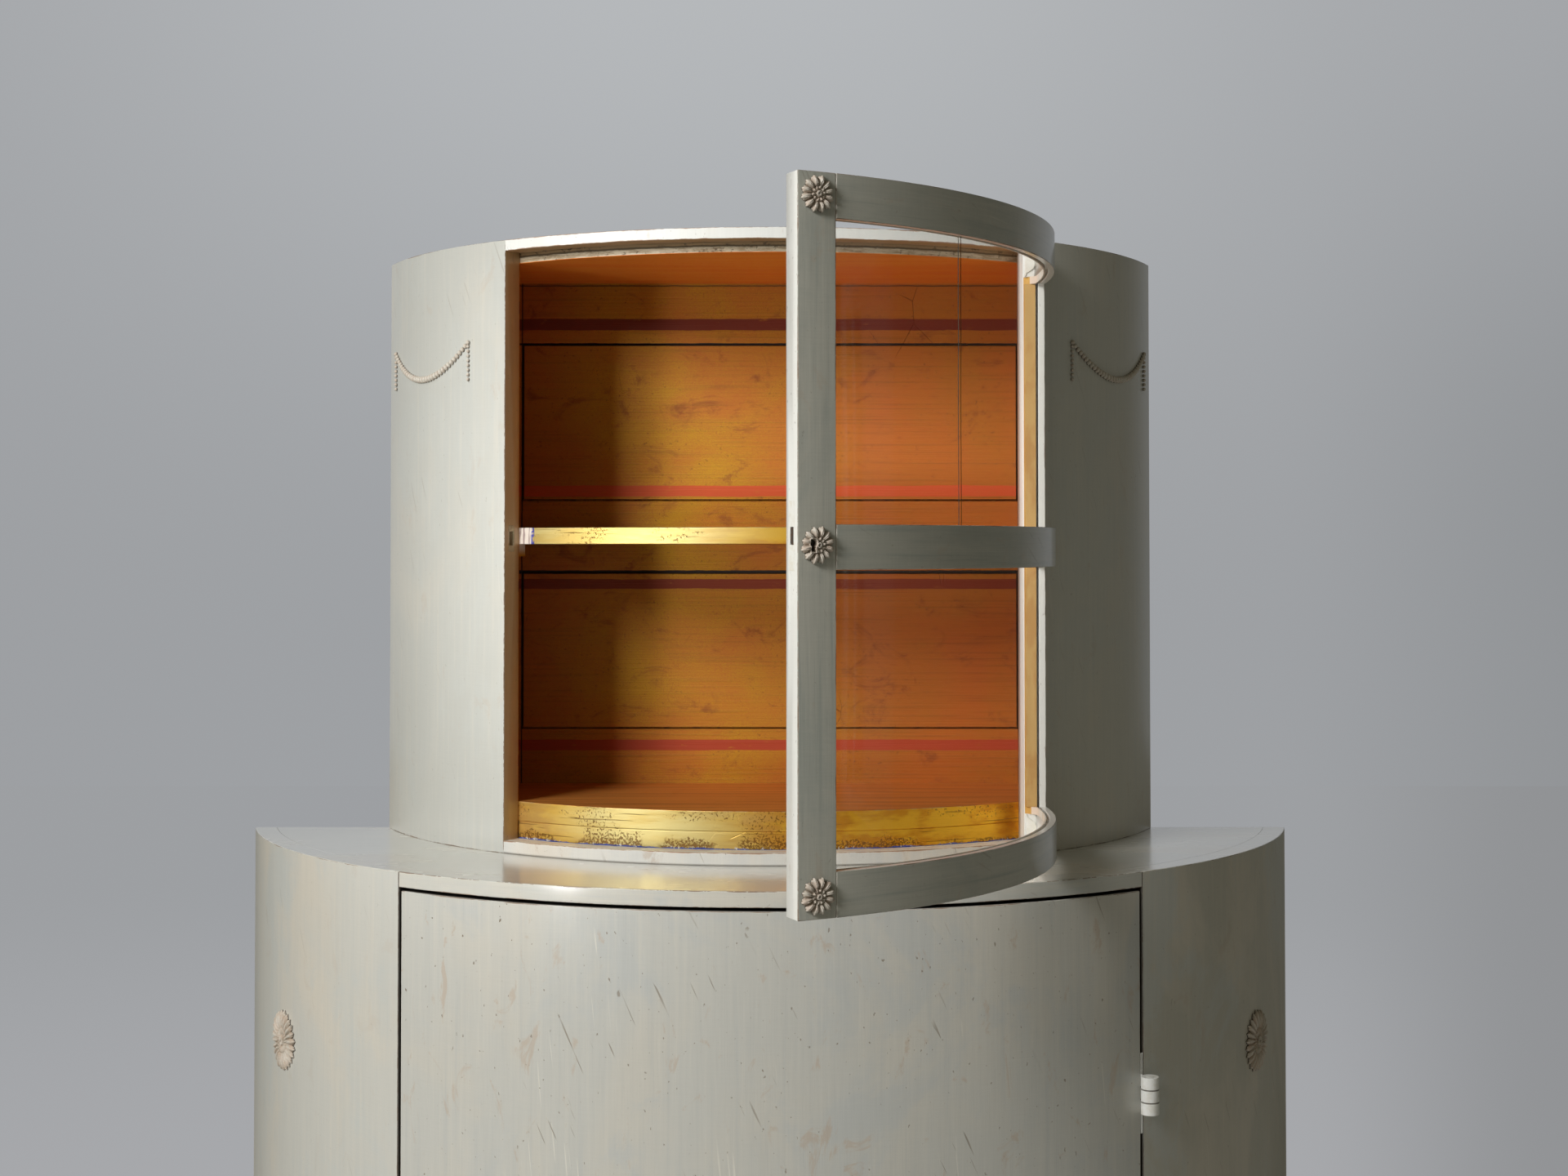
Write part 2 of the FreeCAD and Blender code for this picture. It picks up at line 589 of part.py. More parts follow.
floor_low = "low_height + floor_top - floor_board"
node(bow_board("up_floor", "up_inner", "up", "-up_depth", "back_face", floor_low, "low_height + floor_top"),
     "upper_floor_board")
node(bent("up_riser", "up", "up_inner", "up_inner - riser", "-up_jamb", "up_jamb", "low_height + up_base",
          floor_low), "upper_floor_riser")
shelf_low = "low_height + shelf_top - shelf_board"
node(bow_board("up_shelf", "up_inner", "up", "-up_depth", "back_face", shelf_low, "low_height + shelf_top"),
     "upper_shelf")
cleat_from = "up_jamb + cleat_start"
for word, sign in (("left", "-"), ("right", "")):
    spans = (cleat_from, f"{cleat_from} + cleat_span")
    if sign:
        spans = (f"-({cleat_from}) - cleat_span", f"-({cleat_from})")
    node(bent(f"cleat_{word}", "up", "up_inner", "up_inner - cleat", *spans, f"{shelf_low} - cleat", shelf_low),
         f"upper_shelf_cleat_{word}")

# The upper back: two stiles, three rails, two panels with an open joint round each.
back_low = "low_height + up_base"
back_high = "low_height + up_height - up_top"
for word, x0, x1 in (("left", "-up_radius", "-back_stile"), ("right", "back_stile", "up_radius")):
    stile_disc = barrel(f"back_disc_{word}", "up_inner", f"{back_high} - ({back_low})", "0", "up_centre",
                        back_low)
    stile_slab = slab(f"back_slab_{word}", x0, x1, "-up_back", "0", back_low, back_high)
    node(common(f"back_stile_{word}", stile_disc, stile_slab), f"upper_back_stile_{word}")
rails = (
    ("top", "low_height + back_top_rail", back_high),
    ("middle", "low_height + back_mid_low", "low_height + back_mid_top"),
    ("bottom", back_low, "low_height + back_low_rail"),
)
for word, z0, z1 in rails:
    node(slab(f"back_rail_{word}", "-back_stile", "back_stile", "-up_back", "0", z0, z1),
         f"upper_back_{word}_rail")
panels = (
    ("upper", "low_height + back_mid_top", "low_height + back_top_rail"),
    ("lower", "low_height + back_low_rail", "low_height + back_mid_low"),
)
for word, z0, z1 in panels:
    sheet_back = slab(f"panel_{word}_back", "-back_stile", "back_stile", "-up_back + groove_deep", "0", z0, z1)
    field = slab(f"panel_{word}_field", "-back_stile + groove", "back_stile - groove", "-up_back",
                 "-up_back + groove_deep", f"{z0} + groove", f"{z1} - groove")
    node(fuse(f"back_panel_{word}", [sheet_back, field]), f"upper_back_{word}_panel")

node(garland("garland_left_beads", -1), "garland_left")
node(garland("garland_right_beads", 1), "garland_right")
node(group("up_case_leaves", [up_hinges["low"][1], up_hinges["high"][1]]), "upper_hinge_case_leaves")
node(group("up_pins", [up_hinges["low"][2], up_hinges["high"][2]]), "upper_hinge_pins")

# The glazed door, drawn closed and then swung open about its pins.
frame_back = "up_radius - lip"


def stile(word, from_angle, to_angle, rebate_from, rebate_to, cuts):
    solid = bent(f"stile_{word}_solid", "up", "up_radius", "door_back", from_angle, to_angle, "door_foot",
                 "door_head")
    tools = list(cuts)
    bays = (("upper", "door_mid + mid_rail", "door_head - rail"), ("lower", "door_foot + rail", "door_mid"))
    for bay, z0, z1 in bays:
        tools.append(bent(f"stile_{word}_rebate_{bay}", "up", frame_back, "door_back - over", rebate_from,
                          rebate_to, f"{z0} - rebate", f"{z1} + rebate"))
    return cut(f"stile_{word}", solid, fuse(f"stile_{word}_tools", tools))


def rail(word, z0, z1, rebates):
    ends = ("-pane_side + joint_angle", "pane_side - joint_angle")
    solid = bent(f"rail_{word}_solid", "up", "up_radius", "door_back", *ends, z0, z1)
    tools = []
    for index, (low, high) in enumerate(rebates):
        tools.append(bent(f"rail_{word}_rebate_{index}", "up", frame_back, "door_back - over", "-up_jamb",
                          "up_jamb", low, high))
    return cut(f"rail_{word}", solid, fuse(f"rail_{word}_tools", tools) if len(tools) > 1 else tools[0])


lock_stile = stile("lock", "-up_edge", "-pane_side", "-pane_side - rebate_angle", "-pane_side + rebate_angle",
                   up_door_cuts)
node(lock_stile, "door_lock_stile", True)
hinge_stile = stile("hinge", "pane_side", "up_edge", "pane_side - rebate_angle", "pane_side + rebate_angle",
                    [up_hinges["low"][3][0], up_hinges["high"][3][0]])
node(hinge_stile, "door_hinge_stile", True)
node(rail("top", "door_head - rail", "door_head", [("door_head - rail - over", "door_head - rail + rebate")]),
     "door_top_rail", True)
mid_head = "door_mid + mid_rail"
mid_rebates = [("door_mid - over", "door_mid + rebate"), (mid_head + " - rebate", mid_head + " + over")]
node(rail("middle", "door_mid", mid_head, mid_rebates), "door_middle_rail", True)
low_rebates = [("door_foot + rail - rebate", "door_foot + rail + over")]
node(rail("bottom", "door_foot", "door_foot + rail", low_rebates), "door_bottom_rail", True)

bays = (
    ("upper", "door_mid + mid_rail - rebate + play", "door_head - rail + rebate - play"),
    ("lower", "door_foot + rail - rebate + play", "door_mid + rebate - play"),
)
side_full = "pane_side + rebate_angle - joint_angle"
bead_front = "glass_front - glass - pane_play"
for word, z0, z1 in bays:
    node(bent(f"pane_{word}", "up", "glass_front", "glass_front - glass", f"-({side_full})", side_full, z0, z1),
         f"door_glass_{word}", True)
    strips = []
    for end, low in (("foot", z0), ("head", f"{z1} - rebate")):
        strips.append(bent(f"strip_{word}_{end}", "up", bead_front, "door_back", f"-({side_full})", side_full,
                           low, f"{low} + rebate"))
    upright = (
        ("left", f"-({side_full})", f"-({side_full}) + rebate_angle"),
        ("right", f"{side_full} - rebate_angle", side_full),
    )
    for side, a0, a1 in upright:
        strips.append(bent(f"strip_{word}_{side}", "up", bead_front, "door_back", a0, a1,
                           f"{z0} + rebate + play", f"{z1} - rebate - play"))
    node(group(f"strips_{word}", strips), f"door_glazing_beads_{word}", True)

rose_angle = math.degrees((size("stile") / 2) / size("up_radius")) - size("up_edge")
door_foot = size("door_foot")
door_head = size("door_head")
rose_places = (
    ("rosette_top", door_head - size("rail") / 2),
    ("rosette_keyhole", size("low_height") + size("keyhole_height")),
    ("rosette_bottom", door_foot + size("rail") / 2),
)
for label, height in rose_places:
    flower = rosette(label, "up", rose_angle, height, "rose_radius", "rose_deep", "petals")
    if label == "rosette_keyhole":
        flower = cut("rosette_pierced", flower, up_door_cuts[2])
    node(flower, label, True)
node(up_case, "upper_lock_case", True)
node(up_plate, "upper_lock_plate", True)
node(group("up_bolt_carried", [up_bolt]), "upper_lock_bolt", True)
node(group("up_door_leaves", [up_hinges["low"][0], up_hinges["high"][0]]), "upper_hinge_door_leaves", True)

# Lower cupboard.
low_hinges = {
    "high": lower_hinge("low_hinge_high", "low_height - low_hinge_drop"),
    "low": lower_hinge("low_hinge_low", "low_door_foot + low_hinge_rise"),
}
low_case, low_plate, low_bolt, low_door_cuts, low_jamb_cuts = lock(
    "low_lock", "low", "low_lock_height", "low_lock_height", "low_gap / 2 + stile / 2")

roof = bow_board("low_roof", "low_inner", "low", "-low_depth", "0", "low_height - low_top", "low_height")
lip_strip = bent("low_lip_strip", "low", "low_radius", "low_inner - over", "-low_jamb", "low_jamb",
                 "low_height - low_lip", "low_height")
node(fuse("low_top_board", [roof, lip_strip]), "lower_top_board")
node(side_board("low_left", "low", False, "foot_height", "low_height", low_jamb_cuts), "lower_side_left")
node(side_board("low_right", "low", True, "foot_height", "low_height", []), "lower_side_right")
node(bow_board("low_base", "low_inner", "low", "-low_depth", "low_back_face", "low_floor - low_bottom",
               "low_floor"), "lower_bottom_board")
node(bent("low_front_rail", "low", "low_radius", "low_inner + fit", "-low_jamb", "low_jamb", "foot_height",
          "low_floor"), "lower_front_rail")
node(bow_board("low_shelf_board", "low_inner", "low", "-low_depth", "low_back_face",
               "low_shelf_top - low_shelf", "low_shelf_top"), "lower_shelf")
node(bow_board("low_back_board", "low_inner", "low", "-low_back", "0", "low_floor - low_bottom",
               "low_height - low_top"), "lower_back_board")


def foot(name, label, x_mid, y_back, back_flat):
    """A tapered square foot, from the floor to the bottom board. A back foot stays upright at the back."""
    item = doc.addObject("Part::Wedge", name)
    slim = "(foot_top - foot_bottom) / 2"
    values = {
        "Xmin": slim, "Xmax": "foot_top - " + slim, "X2min": "0", "X2max": "foot_top",
        "Zmin": "0" if back_flat else slim, "Zmax": "foot_bottom" if back_flat else "foot_top - " + slim,
        "Z2min": "0", "Z2max": "foot_top",
        "Ymin": "0", "Ymax": "low_floor - low_bottom",
    }
    for prop in ("Ymax", "X2max", "Z2max", "Xmax", "Zmax", "X2min", "Z2min", "Xmin", "Zmin", "Ymin"):
        bind(item, prop, values[prop])
    item.Placement = FreeCAD.Placement(FreeCAD.Vector(0, 0, 0), FreeCAD.Rotation(FreeCAD.Vector(1, 0, 0), 90))
    bind(item, "Placement.Base.x", f"{x_mid} - foot_top / 2")
    bind(item, "Placement.Base.y", y_back)
    node(item, label)


foot("foot_bl", "foot_back_left", "-back_foot_place", "0", True)
foot("foot_bc", "foot_back_centre", "0", "0", True)
foot("foot_br", "foot_back_right", "back_foot_place", "0", True)
for word, sign in (("left", "-"), ("right", "")):
    reach = "(low_radius - front_foot_inset)"
    foot(f"foot_front_{word}", f"foot_front_{word}", f"{sign}{reach} * sin(front_foot_angle)",
         f"low_centre - {reach} * cos(front_foot_angle) + foot_top / 2", False)

side_rose_z = size("low_height") - size("side_rose_drop")
for word, sign in (("left", -1), ("right", 1)):
    node(rosette(f"side_rose_{word}", "low", sign * size("side_rose_angle"), side_rose_z, "side_rose_radius",
                 "side_rose_deep", "side_petals"), f"side_rosette_{word}")

# Lower door, closed.
door_solid = bent("low_door_solid", "low", "low_radius", "low_radius - low_door", "-low_edge", "low_edge",
                  "low_door_foot", "low_door_head")
node(cut("low_door_panel", door_solid, fuse("low_door_tools", low_door_cuts)), "lower_door_panel")
low_rose_angle = math.degrees((size("stile") / 2) / size("low_radius")) - size("low_edge")
low_rose = rosette("low_key_rose", "low", low_rose_angle, size("low_lock_height"), "rose_radius", "rose_deep",
                   "petals")
node(cut("low_rose_pierced", low_rose, low_door_cuts[2]), "lower_keyhole_rosette")
node(group("low_lock_parts", [low_case, low_plate]), "lower_lock_case")
node(low_bolt, "lower_lock_bolt")
node(group("low_door_leaves", [low_hinges["low"][0], low_hinges["high"][0]]), "lower_hinge_door_leaves")
node(group("low_case_leaves", [low_hinges["low"][1], low_hinges["high"][1]]), "lower_hinge_case_leaves")
node(group("low_pins", [low_hinges["low"][2], low_hinges["high"][2]]), "lower_hinge_pins")

doc.recompute()
for item in doc.Objects:
    if "Invalid" in item.State or "Error" in item.State:
        raise RuntimeError(f"{item.Name} did not build: {item.State}")
for item in PIECES:
    if item.Shape.isNull() or not item.Shape.isValid() or not item.Shape.Solids:
        raise RuntimeError(f"{item.Label} has no sound solid")
os.makedirs("parts", exist_ok=True)
for item in PIECES:
    item.Shape.exportStep(f"parts/{item.Label}.step")
    box = item.Shape.BoundBox
    print(f"{item.Label}: {len(item.Shape.Solids)} solids, {item.Shape.Volume / 1000:.1f} cm3, "
          f"x {box.XMin:.1f}..{box.XMax:.1f} y {box.YMin:.1f}..{box.YMax:.1f} z {box.ZMin:.1f}..{box.ZMax:.1f}")
print(len(PIECES), "nodes")
print("upper pins", round(size("up_pin_x"), 3), round(size("up_pin_y"), 3))
print("lower pins", round(size("low_pin_x"), 3), round(size("low_pin_y"), 3))
print("lock angles", round(size("up_mid"), 4), round(size("low_mid"), 4))
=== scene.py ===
# %% [markdown]
# A painted two-tier cupboard with bowed fronts, its glazed door standing open on a gilded inside.
# The boards, rails and panes come from the CAD model. This script gives them softened edges, finishes that
# read their place on each board, and the carved trim: rosettes, bead garlands and two small ear-shaped plates.
# The first cell loads the CAD model, which fixes every size and place.
# %% Load the model
import bpy
import bmesh
import json
import math
import random
from mathutils import Matrix, Vector

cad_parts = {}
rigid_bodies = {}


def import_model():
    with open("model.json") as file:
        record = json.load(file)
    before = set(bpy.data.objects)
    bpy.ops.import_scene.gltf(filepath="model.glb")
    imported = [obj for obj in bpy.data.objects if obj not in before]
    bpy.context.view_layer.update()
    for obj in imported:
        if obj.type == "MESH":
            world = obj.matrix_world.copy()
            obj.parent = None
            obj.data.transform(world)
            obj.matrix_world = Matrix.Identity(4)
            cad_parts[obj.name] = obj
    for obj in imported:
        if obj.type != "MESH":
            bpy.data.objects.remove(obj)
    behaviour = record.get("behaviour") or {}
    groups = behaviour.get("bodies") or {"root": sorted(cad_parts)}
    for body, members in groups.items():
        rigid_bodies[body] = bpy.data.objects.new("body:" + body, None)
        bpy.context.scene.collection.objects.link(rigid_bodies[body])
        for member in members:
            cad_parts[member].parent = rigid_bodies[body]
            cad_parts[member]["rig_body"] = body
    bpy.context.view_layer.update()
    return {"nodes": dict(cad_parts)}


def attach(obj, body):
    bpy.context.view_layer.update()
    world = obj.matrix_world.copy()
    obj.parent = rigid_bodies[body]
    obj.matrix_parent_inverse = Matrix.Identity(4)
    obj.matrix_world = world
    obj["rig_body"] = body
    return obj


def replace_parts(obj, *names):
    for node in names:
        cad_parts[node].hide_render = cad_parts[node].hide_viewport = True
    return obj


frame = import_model()
nodes = frame["nodes"]
scene = bpy.context.scene

# %% [markdown]
# Both fronts are arcs of circles, so most of the work below is done in bent coordinates: how far along the
# front, how far out from its face, how high. These values repeat the CAD's own.
# %% Sizes of the two bows
UP_HALF, UP_DEPTH = 0.408, 0.281
LOW_HALF, LOW_DEPTH = 0.55, 0.4275
UP_RADIUS = (UP_HALF ** 2 + UP_DEPTH ** 2) / (2 * UP_DEPTH)
LOW_RADIUS = (LOW_HALF ** 2 + LOW_DEPTH ** 2) / (2 * LOW_DEPTH)
UP_CENTRE = UP_RADIUS - UP_DEPTH
LOW_CENTRE = LOW_RADIUS - LOW_DEPTH
LOW_TOP = 0.85
UP_TOP = LOW_TOP + 0.6014
UP_WALL, LOW_WALL = 0.021, 0.022
UP_JAMB = math.asin(0.261 / UP_RADIUS)
LOW_JAMB = math.asin(0.343 / LOW_RADIUS)
DOOR_PIN = Vector((0.261282, -0.194215, 0.0))
DOOR_OPEN = math.radians(62.3)
DOOR_HALF = UP_JAMB - 0.0018 / UP_RADIUS
DOOR_FOOT, DOOR_HEAD = LOW_TOP + 0.014, UP_TOP - 0.0124
LOW_DOOR_HALF = LOW_JAMB - 0.0032 / LOW_RADIUS
LOW_DOOR_FOOT, LOW_DOOR_HEAD = 0.1332, 0.8324
BOWS = {"up": (UP_CENTRE, UP_RADIUS), "low": (LOW_CENTRE, LOW_RADIUS)}
RAIL_TALL = 0.0355
MIDDLE_RAIL = (LOW_TOP + 0.2815, LOW_TOP + 0.3168)
DOOR_WALL, LOW_DOOR_WALL = 0.0196, 0.02
BASE_FOOT, FRONT_RAIL_TOP = 0.09, 0.13
FLOOR_TOP, SHELF_TOP = LOW_TOP + 0.0487, LOW_TOP + 0.3183
ROOF_LIP, LOW_LIP = UP_TOP - 0.0106, LOW_TOP - 0.0144
print("radii", round(UP_RADIUS, 4), round(LOW_RADIUS, 4))

# %% [markdown]
# The camera stands where the photographer stood: low, close to the upper shelf, looking very slightly up.
# A small lens shift keeps the uprights nearly straight, as on the photo.
# %% Camera
camera = bpy.data.objects.new("camera", bpy.data.cameras.new("camera"))
scene.collection.objects.link(camera)
camera.location = (-0.003, -2.2855, 1.1488)
camera.rotation_euler = (math.radians(91.318), 0.0, 0.0)
camera.data.lens = 48.92
camera.data.sensor_width = 36.0
camera.data.shift_x = 0.0107
camera.data.shift_y = -0.0571
scene.camera = camera
print("camera", tuple(round(v, 3) for v in camera.location))

# %% [markdown]
# Materials are node trees, and writing them out link by link hides what they do. Here a socket can be used
# like a number: plus, minus, times, divided by and abs each add a math node. The Tree adds the other steps, such
# as a noise or a mix, in one short call each.
# %% A short hand for node trees
class Value:
    def __init__(self, tree, socket):
        self.tree, self.socket = tree, socket

    def __add__(self, other):
        return self.tree.math("ADD", self, other)

    def __radd__(self, other):
        return self.tree.math("ADD", other, self)

    def __sub__(self, other):
        return self.tree.math("SUBTRACT", self, other)

    def __rsub__(self, other):
        return self.tree.math("SUBTRACT", other, self)

    def __mul__(self, other):
        return self.tree.math("MULTIPLY", self, other)

    def __truediv__(self, other):
        return self.tree.math("DIVIDE", self, other)

    def __abs__(self):
        return self.tree.math("ABSOLUTE", self)


class Outputs:
    """The outputs of a node, by name or number, each as a Value."""
    def __init__(self, tree, sockets):
        self.tree, self.sockets = tree, sockets

    def __getitem__(self, key):
        return Value(self.tree, self.sockets[key])


class Tree:
    def __init__(self, tree):
        self.tree = tree

    def feed(self, socket, value):
        value = getattr(value, "socket", value)
        if isinstance(value, bpy.types.NodeSocket):
            self.tree.links.new(value, socket)
        elif isinstance(value, (int, float)):
            socket.default_value = value
        else:
            socket.default_value = tuple(value) + ((1.0,) if len(value) < len(socket.default_value) else ())

    def give(self, sockets, **values):
        """Feeds sockets by name, with _ for a space."""
        for name, value in values.items():
            self.feed(sockets[name.replace("_", " ")], value)

    def add(self, kind, feeds=(), **settings):
        """A new node: feeds gives its inputs by name or number, the rest are its settings."""
        made = self.tree.nodes.new(kind)
        for name, value in settings.items():
            setattr(made, name, value)
        for key, value in dict(feeds).items():
            self.feed(made.inputs[key], value)
        return Outputs(self, made.outputs)

    def math(self, operation, *values):
        return self.add("ShaderNodeMath", enumerate(values), operation=operation)[0]

    def most(self, first, second):
        return self.math("MAXIMUM", first, second)

    def fade(self, value, low, high):
        """0 at low, 1 at high, smooth between. Low may be above high."""
        flip = isinstance(low, float) and isinstance(high, float) and low > high
        feeds = {0: value, 1: high, 2: low, 3: 1.0, 4: 0.0} if flip else {0: value, 1: low, 2: high}
        return self.add("ShaderNodeMapRange", feeds, interpolation_type="SMOOTHSTEP")[0]

    def mix(self, share, first, second, blend="MIX"):
        feeds = {0: share, 6: first, 7: second}
        return self.add("ShaderNodeMix", feeds, data_type="RGBA", blend_type=blend)[2]

    def shaded(self, color, shade):
        """A colour made lighter or darker by a factor."""
        return self.mix(1.0, color, self.vector(shade, shade, shade), "MULTIPLY")

    def vector(self, *parts):
        return self.add("ShaderNodeCombineXYZ", enumerate(parts))[0]

    def split(self, vector):
        return self.add("ShaderNodeSeparateXYZ", {0: vector})

    def move(self, vector, place=(0, 0, 0), turn=(0, 0, 0), scale=(1, 1, 1)):
        return self.add("ShaderNodeMapping", enumerate((vector, place, turn, scale)))[0]

    def noise(self, vector, scale, detail=3.0, rough=0.55, twist=0.0):
        """Noise whose grain may differ by direction: cycles per metre along x, y and z, or one number for all."""
        scale = (scale,) * 3 if isinstance(scale, float) else scale
        feeds = {"Vector": self.move(vector, scale=scale), "Scale": 1.0, "Detail": detail, "Roughness": rough}
        return self.add("ShaderNodeTexNoise", {**feeds, "Distortion": twist})[0]

    def blots(self, vector, scale, low, high, *grain):
        """Ragged blots: a noise faded from low to high. Its grain is detail, roughness and twist."""
        return self.fade(self.noise(vector, scale, *grain), low, high)

    def use(self, group, **values):
        feeds = {name.replace("_", " "): value for name, value in values.items()}
        return self.add("ShaderNodeGroup", feeds, node_tree=group)


def clamped(value):
    """Keeps the math node behind a value within 0 and 1."""
    value.socket.node.use_clamp = True
    return value


def new_group(name, inputs, *outputs):
    """A shader group. Each input has a kind, or else a first value: a number, or a colour as four numbers."""
    group = bpy.data.node_groups.new(name, "ShaderNodeTree")
    for label, value in inputs.items():
        kind = value if isinstance(value, str) else "Float" if isinstance(value, float) else "Color"
        socket = group.interface.new_socket(label.replace("_", " "), in_out="INPUT", socket_type="NodeSocket" + kind)
        if value != kind:
            socket.default_value = value
    for label in outputs:
        kind = {"Color": "Color", "Unrolled": "Vector"}.get(label, "Float")
        group.interface.new_socket(label, in_out="OUTPUT", socket_type="NodeSocket" + kind)
    tree = Tree(group)
    return group, tree, tree.add("NodeGroupInput"), group.nodes.new("NodeGroupOutput").inputs


print("helpers ready")

# %% [markdown]
# Paint, wear and wood grain run along the boards, which are bent. This group unrolls a place on the object
# into metres along the front, metres out from the face (negative is inside the wood), and height.
# One group serves all boards, because only the centre and the radius of the bow differ.
# %% Group: unrolled place on a bowed board
unrolled_group, t, given, result = new_group(
    "unrolled place", dict(Place="Vector", Centre=UP_CENTRE, Radius=UP_RADIUS), "Along", "Out", "Up", "Unrolled")
x, y, z = t.split(given["Place"])
deep = given["Centre"] - y
along = t.math("ARCTAN2", x, deep) * given["Radius"]
out = t.math("SQRT", x * x + deep * deep) - given["Radius"]
t.give(result, Along=along, Out=out, Up=z, Unrolled=t.vector(along, out, z))
print(unrolled_group.name, len(unrolled_group.nodes), "nodes")

# %% [markdown]
# The old paint was laid on with a brush, up and down, over several earlier coats. Broad patches lean warm or
# cool where one coat or another shows through; long streaks and fine bristle lines follow the brush. Then come
# the marks of use: pale scratches, dark flecks, small oval dents, and brownish rubs where things leaned.
# %% Group: brushed old paint
paint_group, t, given, result = new_group(
    "brushed old paint", dict(Unrolled="Vector", Paint="Color", Older_Coat="Color", Cool_Coat=(0.47, 0.5, 0.5, 1.0),
                              Clouds=0.35, Streaks=0.5, Scuffs=0.5), "Color", "Roughness", "Relief")
place = given["Unrolled"]
broad = t.noise(place, (6.5, 6.5, 3.4), 5.0, 0.62, 0.5)
patch = t.noise(t.move(place, place=(3.1, 0.4, 1.7)), (8.0, 8.0, 6.5), 6.0, 0.68, 0.6)
streaks = t.noise(place, (150.0, 150.0, 4.5), 4.0, 0.65)
bristle = t.noise(place, (1000.0, 1000.0, 26.0), 2.0, 0.5)
weave = t.noise(place, (34.0, 34.0, 620.0), 2.0, 0.5)
color = given["Paint"]
for field, low, high, amount, tone in (
        (broad, 0.47, 0.64, "Clouds", "Older Coat"), (patch, 0.49, 0.63, "Clouds", "Cool Coat"),
        (streaks, 0.51, 0.72, "Streaks", "Older Coat"), (streaks, 0.47, 0.3, "Streaks", "Cool Coat")):
    color = t.mix(clamped(t.fade(field, low, high) * given[amount]), color, given[tone])
fine = streaks * 0.5 + (bristle * 0.32 + weave * 0.18)
shade = 1.0 + (fine - 0.5) * (0.14 + given["Streaks"] * 0.45)
color = t.shaded(color, shade)
use = given["Scuffs"]
rubs = clamped(t.blots(place, (38.0, 38.0, 20.0), 0.59, 0.68, 5.0, 0.68, 0.8) * use)
color = t.mix(rubs * 0.55, color, (0.5, 0.39, 0.29))
some = t.blots(place, (8.0, 8.0, 6.0), 0.5, 0.6, 3.0, 0.6)
pale = t.blots(t.move(place, turn=(0.0, 0.1, 0.0)), (330.0, 330.0, 9.0), 0.69, 0.72, 1.0, 0.4) * some * use
color = t.mix(pale * 0.6, color, (0.74, 0.71, 0.62))
tilted = t.move(place, turn=(0.0, 0.45, 0.0))
scratch = t.blots(tilted, (300.0, 300.0, 16.0), 0.69, 0.72, 1.0, 0.4) * some * use
fleck = t.blots(place, (250.0, 250.0, 150.0), 0.69, 0.715, 2.0, 0.6) * use
dents = t.add("ShaderNodeTexVoronoi", {"Vector": t.move(place, scale=(17.0, 17.0, 9.0)), "Scale": 1.0}, feature="F1")
picked = t.split(dents["Color"])[0]
torn = dents["Distance"] + t.noise(place, (190.0, 190.0, 120.0), 2.0, 0.6) * 0.045
ring = t.fade(abs(torn - 0.068), 0.016, 0.003)
patchy = t.math("GREATER_THAN", picked, 0.62) * t.blots(place, (150.0, 150.0, 90.0), 0.46, 0.56, 2.0)
ring = clamped(ring * patchy * use)
marks = t.most(scratch * 0.7, t.most(fleck * 0.75, ring * 0.7))
color = t.mix(marks, color, (0.25, 0.2, 0.145))
rough = 0.34 + (streaks * 0.14 + broad * 0.08)
relief = bristle * 0.3 + (streaks * 0.45 + weave * 0.25)
t.give(result, Color=color, Roughness=rough, Relief=relief - marks)
print(paint_group.name, len(paint_group.nodes), "nodes")

# %% [markdown]
# Arrises lose their paint first. The group takes the distance to the nearest edge and eats into the paint
# with two noises: one gives long rubbed stretches, the other small chips. Distance is measured from the
# board's known edges, so the wear stays on the edge from every side and at every size of picture.
# %% Group: worn edge
wear_group, t, given, result = new_group(
    "worn edge", dict(Unrolled="Vector", Distance=1.0, Reach=0.002, Amount=0.5), "Rubbed", "Chipped")
place = given["Unrolled"]
long_rub = t.noise(place, 26.0, 4.0, 0.7)
small_chip = t.noise(place, 260.0, 2.0, 0.6)
level = 0.86 - given["Amount"] * 0.5
reach = given["Reach"] * t.fade(long_rub, 0.3, 0.75)
near = clamped(1.0 - given["Distance"] / (reach + 0.00005))
rubbed = t.fade(near, 0.0, 0.35) * t.fade(small_chip + given["Amount"] * 0.25, 0.42, 0.6)
chipped = t.fade(near, 0.25, 0.6) * t.math("GREATER_THAN", (small_chip + long_rub) * 0.75, level)
t.give(result, Rubbed=rubbed, Chipped=chipped)
print(wear_group.name, len(wear_group.nodes), "nodes")

# %% [markdown]
# The flat top of the base was rubbed smooth and waxed over the paint. Its brush strokes run from side to side,
# and at a low angle it mirrors whatever stands behind it, so its relief has to be almost nothing.
# %% Group: waxed top
wax_group, t, given, result = new_group("waxed top", dict(Place="Vector"), "Color", "Roughness", "Relief")
place = given["Place"]
brush = t.noise(place, (7.0, 240.0, 240.0), 3.0, 0.6)
cloud = t.noise(place, (5.0, 14.0, 5.0), 4.0, 0.6)
color = t.mix(t.fade(cloud, 0.42, 0.64), (0.69, 0.69, 0.64), (0.72, 0.695, 0.62))
shade = 0.955 + brush * 0.09
t.give(result, Color=t.shaded(color, shade), Roughness=0.22 + cloud * 0.1, Relief=brush)
print(wax_group.name, len(wax_group.nodes), "nodes")

